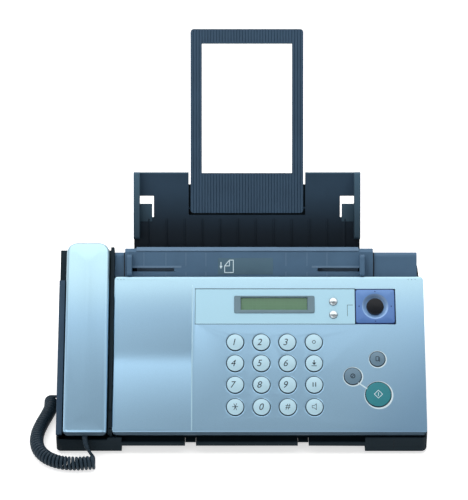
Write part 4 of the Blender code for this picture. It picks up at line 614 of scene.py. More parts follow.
class FAX_OT_stage(bpy.types.Operator):
    """Make the camera, the pale floor and the soft studio light"""

    bl_idname = "fax.stage"
    bl_label = "Stage"

    def execute(self, context):
        """Aim the camera, light the floor and let what looks past it see white."""
        scene = context.scene
        scene.view_settings.view_transform = "Standard"
        make_finishes(scene.fax_look)
        sine, cosine = math.sin(CAMERA_ELEVATION), math.cos(CAMERA_ELEVATION)
        axes = np.array([(1.0, 0.0, 0.0), (0.0, sine, cosine), (0.0, cosine, -sine)])
        camera = bpy.data.objects.new("camera", bpy.data.cameras.new("camera"))
        camera.data.lens = CAMERA_LENS
        camera.data.sensor_width = CAMERA_SENSOR
        camera.location = np.array([ZERO_X, ZERO_Y, 0.0]) - np.array(CAMERA_OFFSETS) @ axes
        camera.rotation_euler = (QUARTER - CAMERA_ELEVATION, 0.0, 0.0)
        scene.collection.objects.link(camera)
        scene.camera = camera
        self.world(scene)
        self.floor(scene)
        for lamp in LAMPS:
            self.lamp(scene, *lamp)
        return {"FINISHED"}

    @staticmethod
    def seen(tree):
        """One for rays that look, straight or through gloss or glass, and none for rays that light."""
        path = add_node(tree, "LightPath", {})
        total = path.outputs["Is Camera Ray"]
        for name in ("Is Glossy Ray", "Is Transmission Ray"):
            total = add_node(tree, "Math", {0: total, 1: path.outputs[name]}, operation="MAXIMUM").outputs["Value"]
        return total

    def world(self, scene):
        """Even light from all round, which looks white as far up as the backdrop goes, and then a grey ceiling."""
        world = bpy.data.worlds.new("studio")
        world.use_nodes = True
        scene.world = world
        tree = world.node_tree
        place = add_node(tree, "TexCoord", {}).outputs["Generated"]
        up = add_node(tree, "SeparateXYZ", {"Vector": place}).outputs["Z"]
        sweep = add_node(tree, "MapRange", {"Value": up, "From Min": CEILING_FROM, "From Max": CEILING_FULL,
                                            "To Min": 1.0, "To Max": 0.0})
        white = add_node(tree, "Math", {0: sweep.outputs["Result"], 1: self.seen(tree)}, operation="MULTIPLY")
        light = add_node(tree, "MapRange", {"Value": white.outputs["Value"], "To Min": WORLD_LIGHT, "To Max": 1.0})
        wire(tree, tree.nodes["Background"], {"Strength": light.outputs["Result"], "Color": WHITE})

    def floor(self, scene):
        """A wide pale floor that glows a little to what looks at it, so that it is white."""
        half = FLOOR_SIDE / 2
        mesh = bpy.data.meshes.new("floor")
        mesh.from_pydata([(-half, -half, 0.0), (half, -half, 0.0), (half, half, 0.0), (-half, half, 0.0)], [],
                         [(0, 1, 2, 3)])
        finish, tree, shader = new_finish("pale_floor")
        glow = add_node(tree, "Math", {0: self.seen(tree), 1: FLOOR_GLOW}, operation="MULTIPLY")
        wire(tree, shader, {"Base Color": FLOOR_COLOUR, "Roughness": FLOOR_ROUGHNESS, "Emission Color": WHITE,
                            "Emission Strength": glow.outputs["Value"]})
        mesh.materials.append(finish)
        floor = bpy.data.objects.new("floor", mesh)
        scene.collection.objects.link(floor)

    @staticmethod
    def lamp(scene, name, place, aim, size, power):
        """A soft rectangular lamp that faces a point."""
        light = bpy.data.lights.new(name, "AREA")
        light.shape = "RECTANGLE"
        light.size, light.size_y = size
        light.energy = power
        lamp = bpy.data.objects.new(name, light)
        lamp.location = place
        away = Vector(place) - Vector(aim)
        lamp.rotation_euler = away.to_track_quat("Z", "Y").to_euler()
        scene.collection.objects.link(lamp)


# Handset cord: a lead from the handset, curls on the table, then into the side of the base
CORD_RADIUS = 0.0016
CORD_SIDES = 12
CORD_SHARP = 60.0
CURL_RADIUS = 0.0055
CURL_PITCH = 0.0038
CURL_POINTS = 28
CURL_ROUTE = (
    (-0.1480, -0.0250), (-0.1640, -0.0268), (-0.1800, -0.0252), (-0.1935, -0.0183),
    (-0.2030, -0.0065), (-0.2075, 0.0080), (-0.2078, 0.0240), (-0.2050, 0.0400),
    (-0.2010, 0.0550), (-0.1978, 0.0690), (-0.1978, 0.0830),
)
LEAD_ROUTE = ((-0.1560, -0.0075, 0.0138), (-0.1522, -0.0110, 0.0085), (-0.1490, -0.0135, 0.0045))
CORD_EXIT = (-0.158, -0.0046, 0.0020)
JACK_FACE = BODY_SIDE + 0.002
LEAD_SPACING = 0.0006


def smooth(points, samples=40):
    """Dense places on a curve through points: each stretch is a cubic set by its neighbours."""
    points = np.array(points, dtype=float)
    padded = np.vstack([2 * points[0] - points[1], points, 2 * points[-1] - points[-2]])
    share = np.linspace(0.0, 1.0, samples, endpoint=False)[:, None]
    stretches = []
    for before, start, end, after in zip(padded, padded[1:], padded[2:], padded[3:]):
        linear = (end - before) / 2
        square = before - 2.5 * start + 2 * end - after / 2
        cube = (after - before) / 2 + 1.5 * (start - end)
        stretches.append(start + linear * share + square * share ** 2 + cube * share ** 3)
    return np.vstack(stretches + [points[-1:]])


def steps_along(curve):
    """Distance of each point of a curve from its start."""
    return np.concatenate([[0.0], np.cumsum(np.linalg.norm(np.diff(curve, axis=0), axis=1))])


def spaced(curve, places):
    """Points of a dense curve at given distances from its start."""
    distance = steps_along(curve)
    return np.column_stack([np.interp(places, distance, column) for column in curve.T])


def cord_path():
    """The cord's centreline in the machine's frame: lead, a helix about the route, then the jack."""
    route = smooth([(x, y, CORD_RADIUS + CURL_RADIUS) for x, y in CURL_ROUTE])
    length = steps_along(route)[-1]
    count = (2 * math.floor(length / CURL_PITCH) + 1) * CURL_POINTS // 2
    centres = spaced(route, np.linspace(0.0, length, count + 1))
    ahead = np.gradient(centres, axis=0)
    ahead /= np.linalg.norm(ahead, axis=1)[:, None]
    side = np.column_stack([-ahead[:, 1], ahead[:, 0], np.zeros(len(ahead))])
    angle = math.pi + 2 * math.pi * np.arange(count + 1)[:, None] / CURL_POINTS
    curls = centres + CURL_RADIUS * (np.cos(angle) * np.array([0.0, 0.0, 1.0]) - np.sin(angle) * side)
    cosine, sine = math.cos(PANEL_SLOPE), math.sin(PANEL_SLOPE)
    outward = np.array([0.0, -cosine, -sine])
    x, along, height = CORD_EXIT
    leave = np.array([x, PANEL_AXIS[0] + along * cosine - height * sine,
                      PANEL_AXIS[1] + along * sine + height * cosine])
    step = 2 * CORD_RADIUS
    lead = smooth([leave, leave + outward * step, *LEAD_ROUTE, curls[0] - side[0] * step, curls[0]])
    count = round(steps_along(lead)[-1] / LEAD_SPACING)
    lead = spaced(lead, np.linspace(0.0, steps_along(lead)[-1], count + 1))
    lead[:, 2] = np.maximum(lead[:, 2], CORD_RADIUS)
    last = curls[-1] - side[-1] * step
    jack = np.array([-JACK_FACE, last[1], last[2]])
    return np.vstack([lead[:-1], curls, last, (last + jack) / 2, jack])


class FAX_OT_cord(bpy.types.Operator):
    """Make the curly cord between the handset and the base"""

    bl_idname = "fax.cord"
    bl_label = "Handset cord"

    def execute(self, context):
        """Carry a circle along the cord's centreline."""
        path = on_machine(cord_path())
        tube = add_piece("handset_cord", skin(swept(path, CORD_RADIUS, CORD_SIDES)), "cord", "base",
                         ("cord_lead_handset", "cord_curl", "cord_lead_base"), CORD_SHARP)
        return {"FINISHED"}


# Marks and signs: flat shapes of (across, along) between a foot and a top
SIGN_DEPTH = 0.00008
SIGN_LINE = 0.0006
SIGN_CUTS = 4
SIGN_MERGE = 1e-6


def polygon(corners, foot, top):
    """A flat mark with straight edges."""
    corners = np.asarray(corners, dtype=float)
    return skin([level(corners, height) for height in (foot, top)])


def bar(start, end, width, foot, top):
    """A flat straight mark between two points, with square ends half its width beyond them."""
    start, end = np.asarray(start, dtype=float), np.asarray(end, dtype=float)
    ahead = (end - start) / np.linalg.norm(end - start) * width / 2
    side = np.array([-ahead[1], ahead[0]])
    return polygon([start - ahead - side, end + ahead - side, end + ahead + side, start - ahead + side], foot, top)


def hoop(centre, inner, outer, foot, top, segments=48):
    """A flat round mark with a hole."""
    return band(turned([(inner, foot), (outer, foot), (outer, top), (inner, top)], centre, segments))


def loop(points, width, foot, top):
    """A closed line of flat straight marks."""
    return joined([bar(start, end, width, foot, top) for start, end in zip(points, np.roll(points, -1, axis=0))])


def taken(shape, mesh):
    """Points and faces of a shape that is being edited, which goes by way of a mesh that is then removed."""
    shape.to_mesh(mesh)
    shape.free()
    points = read(mesh.vertices, "co", 3)
    ends = np.cumsum(read(mesh.polygons, "loop_total", kind=int))[:-1]
    faces = [face.tolist() for face in np.split(read(mesh.loops, "vertex_index", kind=int), ends)]
    bpy.data.meshes.remove(mesh)
    return points, faces


def lettered(text, size, shear):
    """A thin character about the origin, from the built-in font."""
    curve = bpy.data.curves.new("sign", "FONT")
    curve.body = text
    curve.size = size
    curve.shear = shear
    curve.extrude = SIGN_DEPTH / 2
    curve.align_x = "CENTER"
    curve.align_y = "CENTER"
    writing = bpy.data.objects.new("sign", curve)
    flat = bpy.data.meshes.new_from_object(writing)
    bpy.data.objects.remove(writing)
    shape = bmesh.new()
    shape.from_mesh(flat)
    bmesh.ops.remove_doubles(shape, verts=shape.verts, dist=SIGN_MERGE)
    points, faces = taken(shape, flat)
    points[:, :2] -= (points[:, :2].min(axis=0) + points[:, :2].max(axis=0)) / 2
    return points, faces


def finer(surface, cuts):
    """The same surface in triangles, with each edge cut into equal parts."""
    mesh = bpy.data.meshes.new("sign")
    mesh.from_pydata(np.asarray(surface[0]).tolist(), [], surface[1])
    shape = bmesh.new()
    shape.from_mesh(mesh)
    bmesh.ops.triangulate(shape, faces=shape.faces)
    bmesh.ops.subdivide_edges(shape, edges=shape.edges, cuts=cuts, use_grid_fill=True)
    return taken(shape, mesh)


# Keys: crowned caps in conical recesses, in the panel's frame
KEY_FOOT = -0.0001
KEY_TOP = 0.0052
KEY_EDGE = 0.0006
KEY_FLANGE = (0.0012, 0.0011)
# Rows of a cap's faces from its foot, its flange and wall, that take the dark groove finish as painted shade
KEY_SHADED_ROWS = 4
KEY_SHARP = 35.0
RING_SHARP = 50.0
KEY_RADIUS = 0.0084
KEY_COLUMNS = (-0.0063, 0.0204, 0.0470, 0.0740)
KEY_ROWS = (0.0715, 0.0938, 0.1165, 0.1398)
KEY_GRID = (
    ("key_1", "key_2", "key_3", "function_key_upper"),
    ("key_4", "key_5", "key_6", "function_key_middle"),
    ("key_7", "key_8", "key_9", "function_key_lower"),
    ("key_star", "key_0", "key_hash", "speaker_key"),
)
OTHER_KEYS = (
    ("copy_key", 0.1386, 0.0893, 0.0075, "key_grey"), ("stop_key", 0.1132, 0.1075, 0.0085, "key_grey"),
    ("start_key", 0.1388, 0.1266, 0.0127, "key_teal"),
    ("small_key_upper", 0.0944, 0.0278, 0.0040, "chrome"), ("small_key_lower", 0.0944, 0.0418, 0.0040, "chrome"),
)
# Profiles round a key: distance outside the key and height
KEY_RING = ((0.0009, 0.0034), (0.0019, 0.0037), (0.0020, PANEL_TOP + 0.00005), (0.0017, PANEL_TOP + 0.00005),
            (0.0009, 0.0037))
KEY_GAP = ((0.0004, 0.0034), (0.0009, 0.0034), (0.0009, 0.0039), (0.0004, 0.0039))
# Pale crescents round the grey and teal keys, which are painted highlights
CRESCENT_INNER = 0.0009
CRESCENT_OUTER = (0.0014, 0.0004)
CRESCENT_SHIFT = (0.00035, -0.0004)
CRESCENT_FACES = (PANEL_TOP - 0.0003, PANEL_TOP + 0.00008)
# Signs on keys: size and slant of the characters, how far left each digit sits, and the drawn signs' corners
DIGIT_SHAPE = (0.0098, 0.24)
HASH_SHAPE = (0.0085, 0.1)
DIGIT_SHIFTS = (0.0, 0.0008) + 8 * (0.0018,)
STAR_RAYS = [np.array([0.95 * math.cos(turn), 1.3 * math.sin(turn)]) * 0.0028
             for turn in (0.0, math.pi / 3, 2 * math.pi / 3)]
HORN = ((-0.0024, -0.0012), (-0.0006, -0.0012), (0.0018, -0.0030), (0.0018, 0.0030), (-0.0006, 0.0012),
        (-0.0024, 0.0012))
ARROW_HEAD = ((-0.0022, 0.0004), (0.0022, 0.0004), (0.0, -0.0022))
PAGE = ((-0.0016, -0.0022), (0.0012, -0.0022), (0.0012, 0.0022), (-0.0016, 0.0022))
DIAMOND = ((0.0042, 0.0), (0.0, 0.0042), (-0.0042, 0.0), (0.0, -0.0042))


def key_list():
    """Every key as its name, place across, place up the slope, radius and finish."""
    keys = []
    for names, distance in zip(KEY_GRID, KEY_ROWS):
        keys += [(name, x, from_top(distance), KEY_RADIUS, "key_pale") for name, x in zip(names, KEY_COLUMNS)]
    return keys + [(name, x, from_top(distance), radius, finish) for name, x, distance, radius, finish in OTHER_KEYS]


def key_signs():
    """The sign of each key that has one, flat about the origin."""
    line, faces = SIGN_LINE, (-SIGN_DEPTH / 2, SIGN_DEPTH / 2)
    signs = {}
    for digit, shift in enumerate(DIGIT_SHIFTS):
        points, corners = lettered(str(digit), *DIGIT_SHAPE)
        signs[f"key_{digit}"] = points - (shift, 0.0, 0.0), corners
    signs["key_hash"] = lettered("#", *HASH_SHAPE)
    signs["key_star"] = joined([bar(-ray, ray, line, *faces) for ray in STAR_RAYS])
    signs["speaker_key"] = loop(HORN, line * 0.8, *faces)
    signs["function_key_upper"] = hoop((0.0, 0.0), 0.0013, 0.0019, *faces, 32)
    signs["function_key_middle"] = joined([polygon(ARROW_HEAD, *faces),
                                           bar((-0.0024, -0.0030), (0.0024, -0.0030), line, *faces),
                                           bar((0.0, 0.0004), (0.0, 0.0026), line * 1.6, *faces)])
    signs["function_key_lower"] = joined([bar((x, -0.0018), (x, 0.0018), line * 1.5, *faces)
                                          for x in (-0.0013, 0.0013)])
    signs["copy_key"] = joined([loop(PAGE, line, *faces), bar((0.0021, -0.0028), (0.0021, 0.0014), line, *faces)])
    signs["stop_key"] = joined([hoop((0.0, 0.0), 0.0017, 0.0025, *faces),
                                bar((-0.0009, -0.0009), (0.0009, 0.0009), line, *faces)])
    signs["start_key"] = joined([loop(DIAMOND, line * 0.9, *faces),
                                 bar((0.0, -0.0018), (0.0, 0.0018), line * 0.9, *faces)])
    return signs


class FAX_OT_keys(bpy.types.Operator):
    """Make the key caps, their signs and the rings of their recesses"""

    bl_idname = "fax.keys"
    bl_label = "Keys"

    def execute(self, context):
        """Turn each cap's profile, lay its sign on the crown and set a ring in its recess."""
        look = context.scene.fax_look
        signs = key_signs()
        rings, gaps, bright = [], [], []
        for name, x, along, radius, finish in key_list():
            flange = radius + KEY_FLANGE[0]
            wall = [(flange, KEY_FOOT), (flange, KEY_FLANGE[1]), (radius, KEY_FLANGE[1])]
            profile = np.concatenate([wall, domed(radius, KEY_TOP, KEY_EDGE, look.key_crown)])
            cap = skin(on_panel(turned(profile, (x, along), look.segments)))
            mesh = add_piece(name + "_cap", cap, finish, name, (name,), KEY_SHARP).data
            # The cap's flange and wall take the dark groove finish, a painted shade
            more_finishes(mesh, ["groove"], np.arange(len(mesh.polygons)) // look.segments < KEY_SHADED_ROWS)
            if name in signs:
                self.sign(name, signs[name], x, along, radius - KEY_EDGE, look.key_crown)
            if finish == "chrome":
                continue
            for places, outline in ((rings, KEY_RING), (gaps, KEY_GAP)):
                places.append(band(on_panel(turned(np.add(outline, (radius, 0.0)), (x, along), look.segments))))
            # Grey and teal keys get a pale crescent round their recess, a painted highlight
            if finish != "key_pale":
                bright.append(self.crescent(x, along, radius, look.segments))
        add_piece("key_recess_rings", joined(rings), "silver", "control_panel", (), RING_SHARP)
        add_piece("key_gaps", joined(gaps), "groove", "control_panel", (), RING_SHARP)
        add_piece("key_highlight_rings", joined(bright), "white_mark", "control_panel", (), RING_SHARP)
        return {"FINISHED"}

    @staticmethod
    def crescent(x, along, radius, segments):
        """A flat ring round a key that is wider at its lower right, a painted highlight: its outer circle is off
        centre.
        """
        centre = np.array([x, along])
        wide = radius / KEY_RADIUS
        inner = circle(segments) * (radius + CRESCENT_INNER) + centre
        reach = radius + CRESCENT_OUTER[0] + CRESCENT_OUTER[1] * wide
        outer = circle(segments) * reach + centre + np.array(CRESCENT_SHIFT) * wide
        low, high = CRESCENT_FACES
        return band(on_panel([level(inner, low), level(outer, low), level(outer, high), level(inner, high)]))

    @staticmethod
    def sign(name, drawn, x, along, inner, crown):
        """Lay a key's sign on its crown, which falls with the square of the distance from the middle."""
        points, faces = finer(drawn, SIGN_CUTS)
        fall = (points[:, 0] ** 2 + points[:, 1] ** 2) / inner ** 2
        height = KEY_TOP + crown * (1 - fall) + points[:, 2] + SIGN_DEPTH / 4
        placed = np.column_stack([points[:, 0] + x, points[:, 1] + along, height])
        ink = "white_mark" if name == "start_key" else "dark_mark"
        add_piece(name + "_sign", (on_panel(placed), faces), ink, name)


# Navigation pad: a square with round corners that runs into a round dish
NAV_CENTRE = (0.13735, from_top(0.033))
NAV_HALF = (0.02025, 0.0184)
NAV_FOOT = -0.0005
NAV_TOP = 0.0046
NAV_CORNER = 0.002
NAV_EDGE = 0.0006
NAV_DISH = (0.0135, 0.0021)
NAV_WELL = (0.0090, 0.0015)
NAV_MIDDLE = 0.0002
NAV_SEGMENTS = 128
NAV_DISH_POINTS = 9
# Which of the pad's finishes each row of faces takes: face, edge or dish
NAV_ROWS = 3 * (1,) + (0,) + 8 * (2,) + 3 * (1,)
NAV_BUTTON = (0.0086, 0.0032, 0.0056)
NAV_BUTTON_EDGE = 0.0008
NAV_BUTTON_RISE = 0.0005
NAV_BUTTON_SEGMENTS = 64
NAV_ARROW = ((-0.0010, -0.0006), (0.0010, -0.0006), (0.0, 0.0009))
NAV_ARROW_REACH = (0.0160, 0.0166, 0.0160, 0.0166)
NAV_ARROW_FACES = (NAV_TOP - 0.00002, NAV_TOP + 0.00005)
EDGE_SHARE = 0.3


def square_ring(half, radius, segments):
    """A rectangle with round corners, one point for each direction from its middle."""
    turn = circle(segments)
    reach = np.min(np.array(half) / np.maximum(np.abs(turn), 1e-9), axis=1)
    flat = turn * reach[:, None]
    core = np.array(half) - radius
    in_corner = np.all(np.abs(flat) - core > 0, axis=1)
    middle = np.sign(flat) * core
    away = flat - middle
    length = np.linalg.norm(away, axis=1)[:, None]
    return np.where(in_corner[:, None], middle + away / np.maximum(length, 1e-9) * radius, flat)


class FAX_OT_navigation(bpy.types.Operator):
    """Make the four-way pad, its centre button, its arrows and the ring it tilts on"""

    bl_idname = "fax.navigation"
    bl_label = "Navigation pad"

    def execute(self, context):
        """Run rings from the pad's square edge into its dish and its well."""
        part = EDGE_SHARE * NAV_EDGE
        outer = [(0.0, NAV_FOOT), (0.0, NAV_TOP - NAV_EDGE), (part, NAV_TOP - part), (NAV_EDGE, NAV_TOP)]
        rings = [level(square_ring(np.array(NAV_HALF) - inset, NAV_CORNER, NAV_SEGMENTS), height)
                 for inset, height in outer]
        share = np.linspace(0.0, 1.0, NAV_DISH_POINTS)
        slope = (1 - np.cos(math.pi * share)) / 2
        dish = np.column_stack([NAV_DISH[0] - (NAV_DISH[0] - NAV_WELL[0]) * share, NAV_TOP - NAV_DISH[1] * slope])
        well = [NAV_WELL, (NAV_MIDDLE, NAV_WELL[1])]
        rings += list(turned(np.concatenate([dish, well]), (0.0, 0.0), NAV_SEGMENTS))
        rings = np.array(rings) + np.array([*NAV_CENTRE, 0.0])
        pad = add_piece("nav_pad_face", skin(on_panel(rings)), "nav", "nav_pad", ("nav_pad",), KEY_SHARP).data
        row = np.arange(len(pad.polygons)) // NAV_SEGMENTS
        more_finishes(pad, ["nav_edge", "nav_ring"], np.array(NAV_ROWS)[row])
        radius, foot, top = NAV_BUTTON
        profile = np.concatenate([[(radius, foot)], domed(radius, top, NAV_BUTTON_EDGE, NAV_BUTTON_RISE)])
        button = skin(on_panel(turned(profile, NAV_CENTRE, NAV_BUTTON_SEGMENTS)))
        add_piece("nav_button_cap", button, "black", "nav_button", ("nav_button",), KEY_SHARP)
        arrows = []
        for quarter, reach in enumerate(NAV_ARROW_REACH):
            cosine, sine = math.cos(quarter * QUARTER), math.sin(quarter * QUARTER)
            spun = np.add(NAV_ARROW, (0.0, reach)) @ np.array([(cosine, sine), (-sine, cosine)])
            arrows.append(polygon(spun + NAV_CENTRE, *NAV_ARROW_FACES))
        add_marks("nav_arrows", arrows, on_panel, "nav_edge", "nav_pad")
        dressed("nav_gimbal", "nylon", "nav_gimbal", 0.0)
        return {"FINISHED"}


# Handset: a smooth upper shell on a lower shell with two cups
HANDSET_X = -0.158
HANDSET_HALF = 0.022
HANDSET_FRONT = -0.0052
HANDSET_LENGTH = 0.2041
HANDSET_SPLIT = 0.004
HANDSET_TOP = 0.012
HANDSET_EDGE = 0.0045
HANDSET_EDGE_POINTS = 9
HANDSET_CORNER_STEPS = 10
HANDSET_EDGE_FALL = 0.0008
HANDSET_ARCH = 0.0016
# Corners at the front and the rear: radius, least radius
HANDSET_CORNERS = ((0.005, 0.0008), (0.011, 0.0012))
# Upper face inside its round edge: inset, fall
HANDSET_FACE = ((0.010, 0.0003), (0.016, 0.00005), (0.0205, 0.0))
HANDSET_BOTTOM = -0.008
HANDSET_ROUNDING = 0.0008
# Faces whose direction points forwards more than this take the darker front-edge finish, a painted shade
FRONT_FACING = 0.5
# Cups: place up the slope, rings of holes
CUPS = ((0.026, 2), (0.172, 3))
CUP_LINE = (0.0022, 0.0027)
HOLE_PITCH = 0.0032
HOLE_RADIUS = 0.0008
HOLE_SIDES = 14
HOLE_FACES = (HANDSET_BOTTOM - 0.00006, HANDSET_BOTTOM + 0.0003)
SLEEVE_LENGTH = 0.0140
SLEEVE_RADII = (0.0028, 0.0022)
SLEEVE_RIDGES = 5
SLEEVE_RIDGE = 0.00022
SLEEVE_GAP = 0.0002
SLEEVE_SIDES = 24


def handset_plan(inset):
    """The upper shell's outline drawn in by an inset, with wider corners at the rear."""
    left, right = HANDSET_X - HANDSET_HALF + inset, HANDSET_X + HANDSET_HALF - inset
    low, high = HANDSET_FRONT + inset, HANDSET_FRONT + HANDSET_LENGTH - inset
    front, rear = [rounded(left, right, low, high, max(radius - inset, least), HANDSET_CORNER_STEPS)
                   for radius, least in HANDSET_CORNERS]
    return np.where(np.arange(len(rear))[:, None] < len(rear) // 2, rear, front)


class FAX_OT_handset(bpy.types.Operator):
    """Make the handset's shells, its sound holes and the sleeve of its cord"""

    bl_idname = "fax.handset"
    bl_label = "Handset"

    def execute(self, context):
        """Draw the outline in as it rises, and let the top fall towards both ends."""
        turn = np.linspace(0.0, QUARTER, HANDSET_EDGE_POINTS)
        top = HANDSET_TOP - HANDSET_EDGE * (1 - np.sin(turn)) - HANDSET_EDGE_FALL
        face_insets, face_falls = np.array(HANDSET_FACE).T
        insets = np.concatenate([[0.0], HANDSET_EDGE * (1 - np.cos(turn)), face_insets])
        heights = np.concatenate([[HANDSET_SPLIT], top, HANDSET_TOP - face_falls])
        rings = []
        for inset, height in zip(insets, heights):
            plan = handset_plan(inset)
            share = (plan[:, 1] - HANDSET_FRONT) / HANDSET_LENGTH * 2 - 1
            fall = HANDSET_ARCH * share ** 4 * (height - HANDSET_SPLIT) / (HANDSET_TOP - HANDSET_SPLIT)
            rings.append(np.column_stack([plan, height - fall]))
        cover = add_piece("handset_upper_cover", skin(on_panel(rings)), "silver", "handset", ("handset_upper_shell",),
                          RING_SHARP)
        lower = dressed("handset_lower_shell", "silver", "handset", HANDSET_ROUNDING)
        # Faces at the front ends of both shells take the darker front-edge finish, a painted shade
        for piece in (cover, lower):
            normals = read(piece.data.polygons, "normal", 3)
            ahead = -normals @ (0.0, math.cos(PANEL_SLOPE), math.sin(PANEL_SLOPE))
            more_finishes(piece.data, ["nose"], ahead > FRONT_FACING)
        self.sleeve()
        self.sound_holes()
        return {"FINISHED"}

    @staticmethod
    def sleeve():
        """A tapered tube round the start of the cord: an outer wall one way, an inner wall back."""
        path = cord_path()
        path = on_machine(path[steps_along(path) < SLEEVE_LENGTH])
        share = np.linspace(0.0, 1.0, len(path))
        ridges = SLEEVE_RIDGE * np.cos(2 * math.pi * share * SLEEVE_RIDGES)
        outer = swept(path, SLEEVE_RADII[0] + (SLEEVE_RADII[1] - SLEEVE_RADII[0]) * share + ridges, SLEEVE_SIDES)
        inner = swept(path, CORD_RADIUS + SLEEVE_GAP, SLEEVE_SIDES)[::-1]
        add_piece("cord_sleeve", band(np.concatenate([outer, inner])), "cord", "handset", (), RING_SHARP)

    @staticmethod
    def sound_holes():
        """Rings of small holes under the ear cup and the mouth cup, drawn as dark discs, a painted shadow."""
        holes = []
        for along, rings in CUPS:
            centre = np.array([HANDSET_X, along])
            spots = [centre] + [centre + HOLE_PITCH * ring * spot for ring in range(1, rings + 1)
                                for spot in circle(6 * ring)]
            holes += [polygon(circle(HOLE_SIDES) * HOLE_RADIUS + spot, *HOLE_FACES) for spot in spots]
            inner, outer = [HOLE_PITCH * rings + beyond for beyond in CUP_LINE]
            holes.append(hoop(centre, inner, outer, *HOLE_FACES))
        add_marks("sound_holes", holes, on_panel, "dark_mark", "handset")


# Paper extension: a flat frame with narrow grooves along it, in the tray's frame
EXTENSION_WIDTH = 0.1178
EXTENSION_LEFT = TRAY_CENTRE - EXTENSION_WIDTH / 2
EXTENSION_FOOT = 0.0252
EXTENSION_TOP = 0.2172
EXTENSION_BAR = 0.0152
EXTENSION_SIDE = 0.0118
EXTENSION_WINDOW_FOOT = 0.067
EXTENSION_CORNER = 0.0035
EXTENSION_FACES = (-0.0035, 0.0005)
RIB_COUNT = 39
RIB_DEPTH = 0.0007
RIB_POWER = 6
RIB_POINTS = 12


def ribbed(left, right, low, high):
    """A grooved strip of the extension: its section across is carried up it between two edges, and each groove is
    a power of a cosine."""
    pitch = EXTENSION_WIDTH / RIB_COUNT
    across = np.linspace(left, right, max(3, round((right - left) / pitch * RIB_POINTS) + 1))
    groove = RIB_DEPTH * np.maximum(0.0, np.cos(2 * math.pi * (across - EXTENSION_LEFT) / pitch)) ** RIB_POWER
    from_side = np.minimum(across - EXTENSION_LEFT, EXTENSION_LEFT + EXTENSION_WIDTH - across)
    near = np.clip(EXTENSION_CORNER - from_side, 0.0, EXTENSION_CORNER)
    cut = EXTENSION_CORNER - np.sqrt(EXTENSION_CORNER ** 2 - near ** 2)
    front = EXTENSION_FACES[1] - groove
    back = EXTENSION_FACES[0] + groove
    loops = []
    for edge, side in ((low, 1.0), (high, -1.0)):
        along = edge + side * cut * (edge in (EXTENSION_FOOT, EXTENSION_TOP))
        loops.append(np.concatenate([np.column_stack([across, along, front]),
                                     np.column_stack([across, along, back])[::-1]]))
    return skin(on_tray(loops))


class FAX_OT_extension(bpy.types.Operator):
    """Make the grooved frame that holds long paper up"""

    bl_idname = "fax.extension"
    bl_label = "Paper extension"

    def execute(self, context):
        """Join two upright strips, the foot and the top bar."""
        left, right = EXTENSION_LEFT, TRAY_CENTRE + EXTENSION_WIDTH / 2
        inner_left, inner_right = left + EXTENSION_SIDE, right - EXTENSION_SIDE
        strips = [ribbed(left, inner_left, EXTENSION_FOOT, EXTENSION_TOP),
                  ribbed(inner_right, right, EXTENSION_FOOT, EXTENSION_TOP),
                  ribbed(inner_left, inner_right, EXTENSION_FOOT, EXTENSION_WINDOW_FOOT),
                  ribbed(inner_left, inner_right, EXTENSION_TOP - EXTENSION_BAR, EXTENSION_TOP)]
        add_piece("extension_frame", joined(strips), "extension", "paper_extension", ("paper_extension",))
        return {"FINISHED"}


# Tray: the pocket behind the extension's hinge, the tabs below the corner windows, and the side walls
PLATE_SHARP = 40.0
POCKET = (0.0635, 0.0190, 0.0553)
POCKET_DEPTHS = (-0.0115, -0.0085, -0.0032)
POCKET_WALL = 0.0016
POCKET_ROUNDING = (0.001, 0.0003)
PLATE_CORNER = 0.0004
PLATE_EDGE = 0.0002
# Plates at both sides: nearest and farthest place from the middle, lowest and highest place, corner
TRAY_PLATES = ((0.0990, 0.1117, 0.0163, 0.0350, 0.0006), (0.0612, 0.1117, 0.0662, 0.0676, PLATE_CORNER))
TRAY_PLATE_FACES = (-0.0002, 0.0003)
# Faces beyond these take the tray's lighter wall finish, a painted highlight: side walls out from the middle, the
# upper edge up the slope
WALL_FROM = 0.1112
TRAY_TOP = 0.0674


class FAX_OT_tray(bpy.types.Operator):
    """Make the pocket behind the extension's hinge and the tabs below the tray's corner windows"""

    bl_idname = "fax.tray"
    bl_label = "Paper tray"

    def execute(self, context):
        """Close the notch from behind with a plate and two cheeks, and lay plates on the tabs and the upper edge."""
        reach, low, high = POCKET
        floor, inside, rim = POCKET_DEPTHS
        left, right = TRAY_CENTRE - reach, TRAY_CENTRE + reach
        walls = ((left, left + POCKET_WALL, low, high), (right - POCKET_WALL, right, low, high),
                 (left, right, low, low + POCKET_WALL))
        corner, edge = POCKET_ROUNDING
        parts = [slab(left, right, low, high, corner, floor, inside, edge)]
        parts += [slab(*wall, PLATE_CORNER, floor, rim, PLATE_EDGE) for wall in walls]
        self.plates("hinge_pocket", parts, "dark")
        parts = []
        for near, far, low, high, corner in TRAY_PLATES:
            shape = (low, high, corner, *TRAY_PLATE_FACES, PLATE_EDGE)
            for left, right in ((-far, -near), (near, far)):
                parts.append(slab(TRAY_CENTRE + left, TRAY_CENTRE + right, *shape))
        # The tabs take the tray's lighter wall finish, a painted highlight
        self.plates("tray_tabs", parts, "tray_wall")
        return {"FINISHED"}

    @staticmethod
    def plates(name, parts, finish):
        """Show plates in the tray's frame as one piece."""
        surface = joined([skin(on_tray(part)) for part in parts])
        add_piece(name, surface, finish, "base", (), PLATE_SHARP)


# Scoop beside the handset: its sides, then where it starts, is deepest and ends below the panel's top
SCOOP_SIDES = (-0.1303, -0.0506)
SCOOP_RUN = (0.0142, 0.0866, 0.1598)
SCOOP_ENDS = (0.0060, 0.1636)
SCOOP_FALL = 0.0025
SCOOP_POWERS = (1.4, 2.0)
SCOOP_LIFT = 0.0001
SCOOP_FLOOR = 0.0054
SCOOP_EDGE = 0.0008
SCOOP_POINTS = 140
SCOOP_BLUR = SCOOP_POINTS // 6
SCOOP_SHARP = 45.0


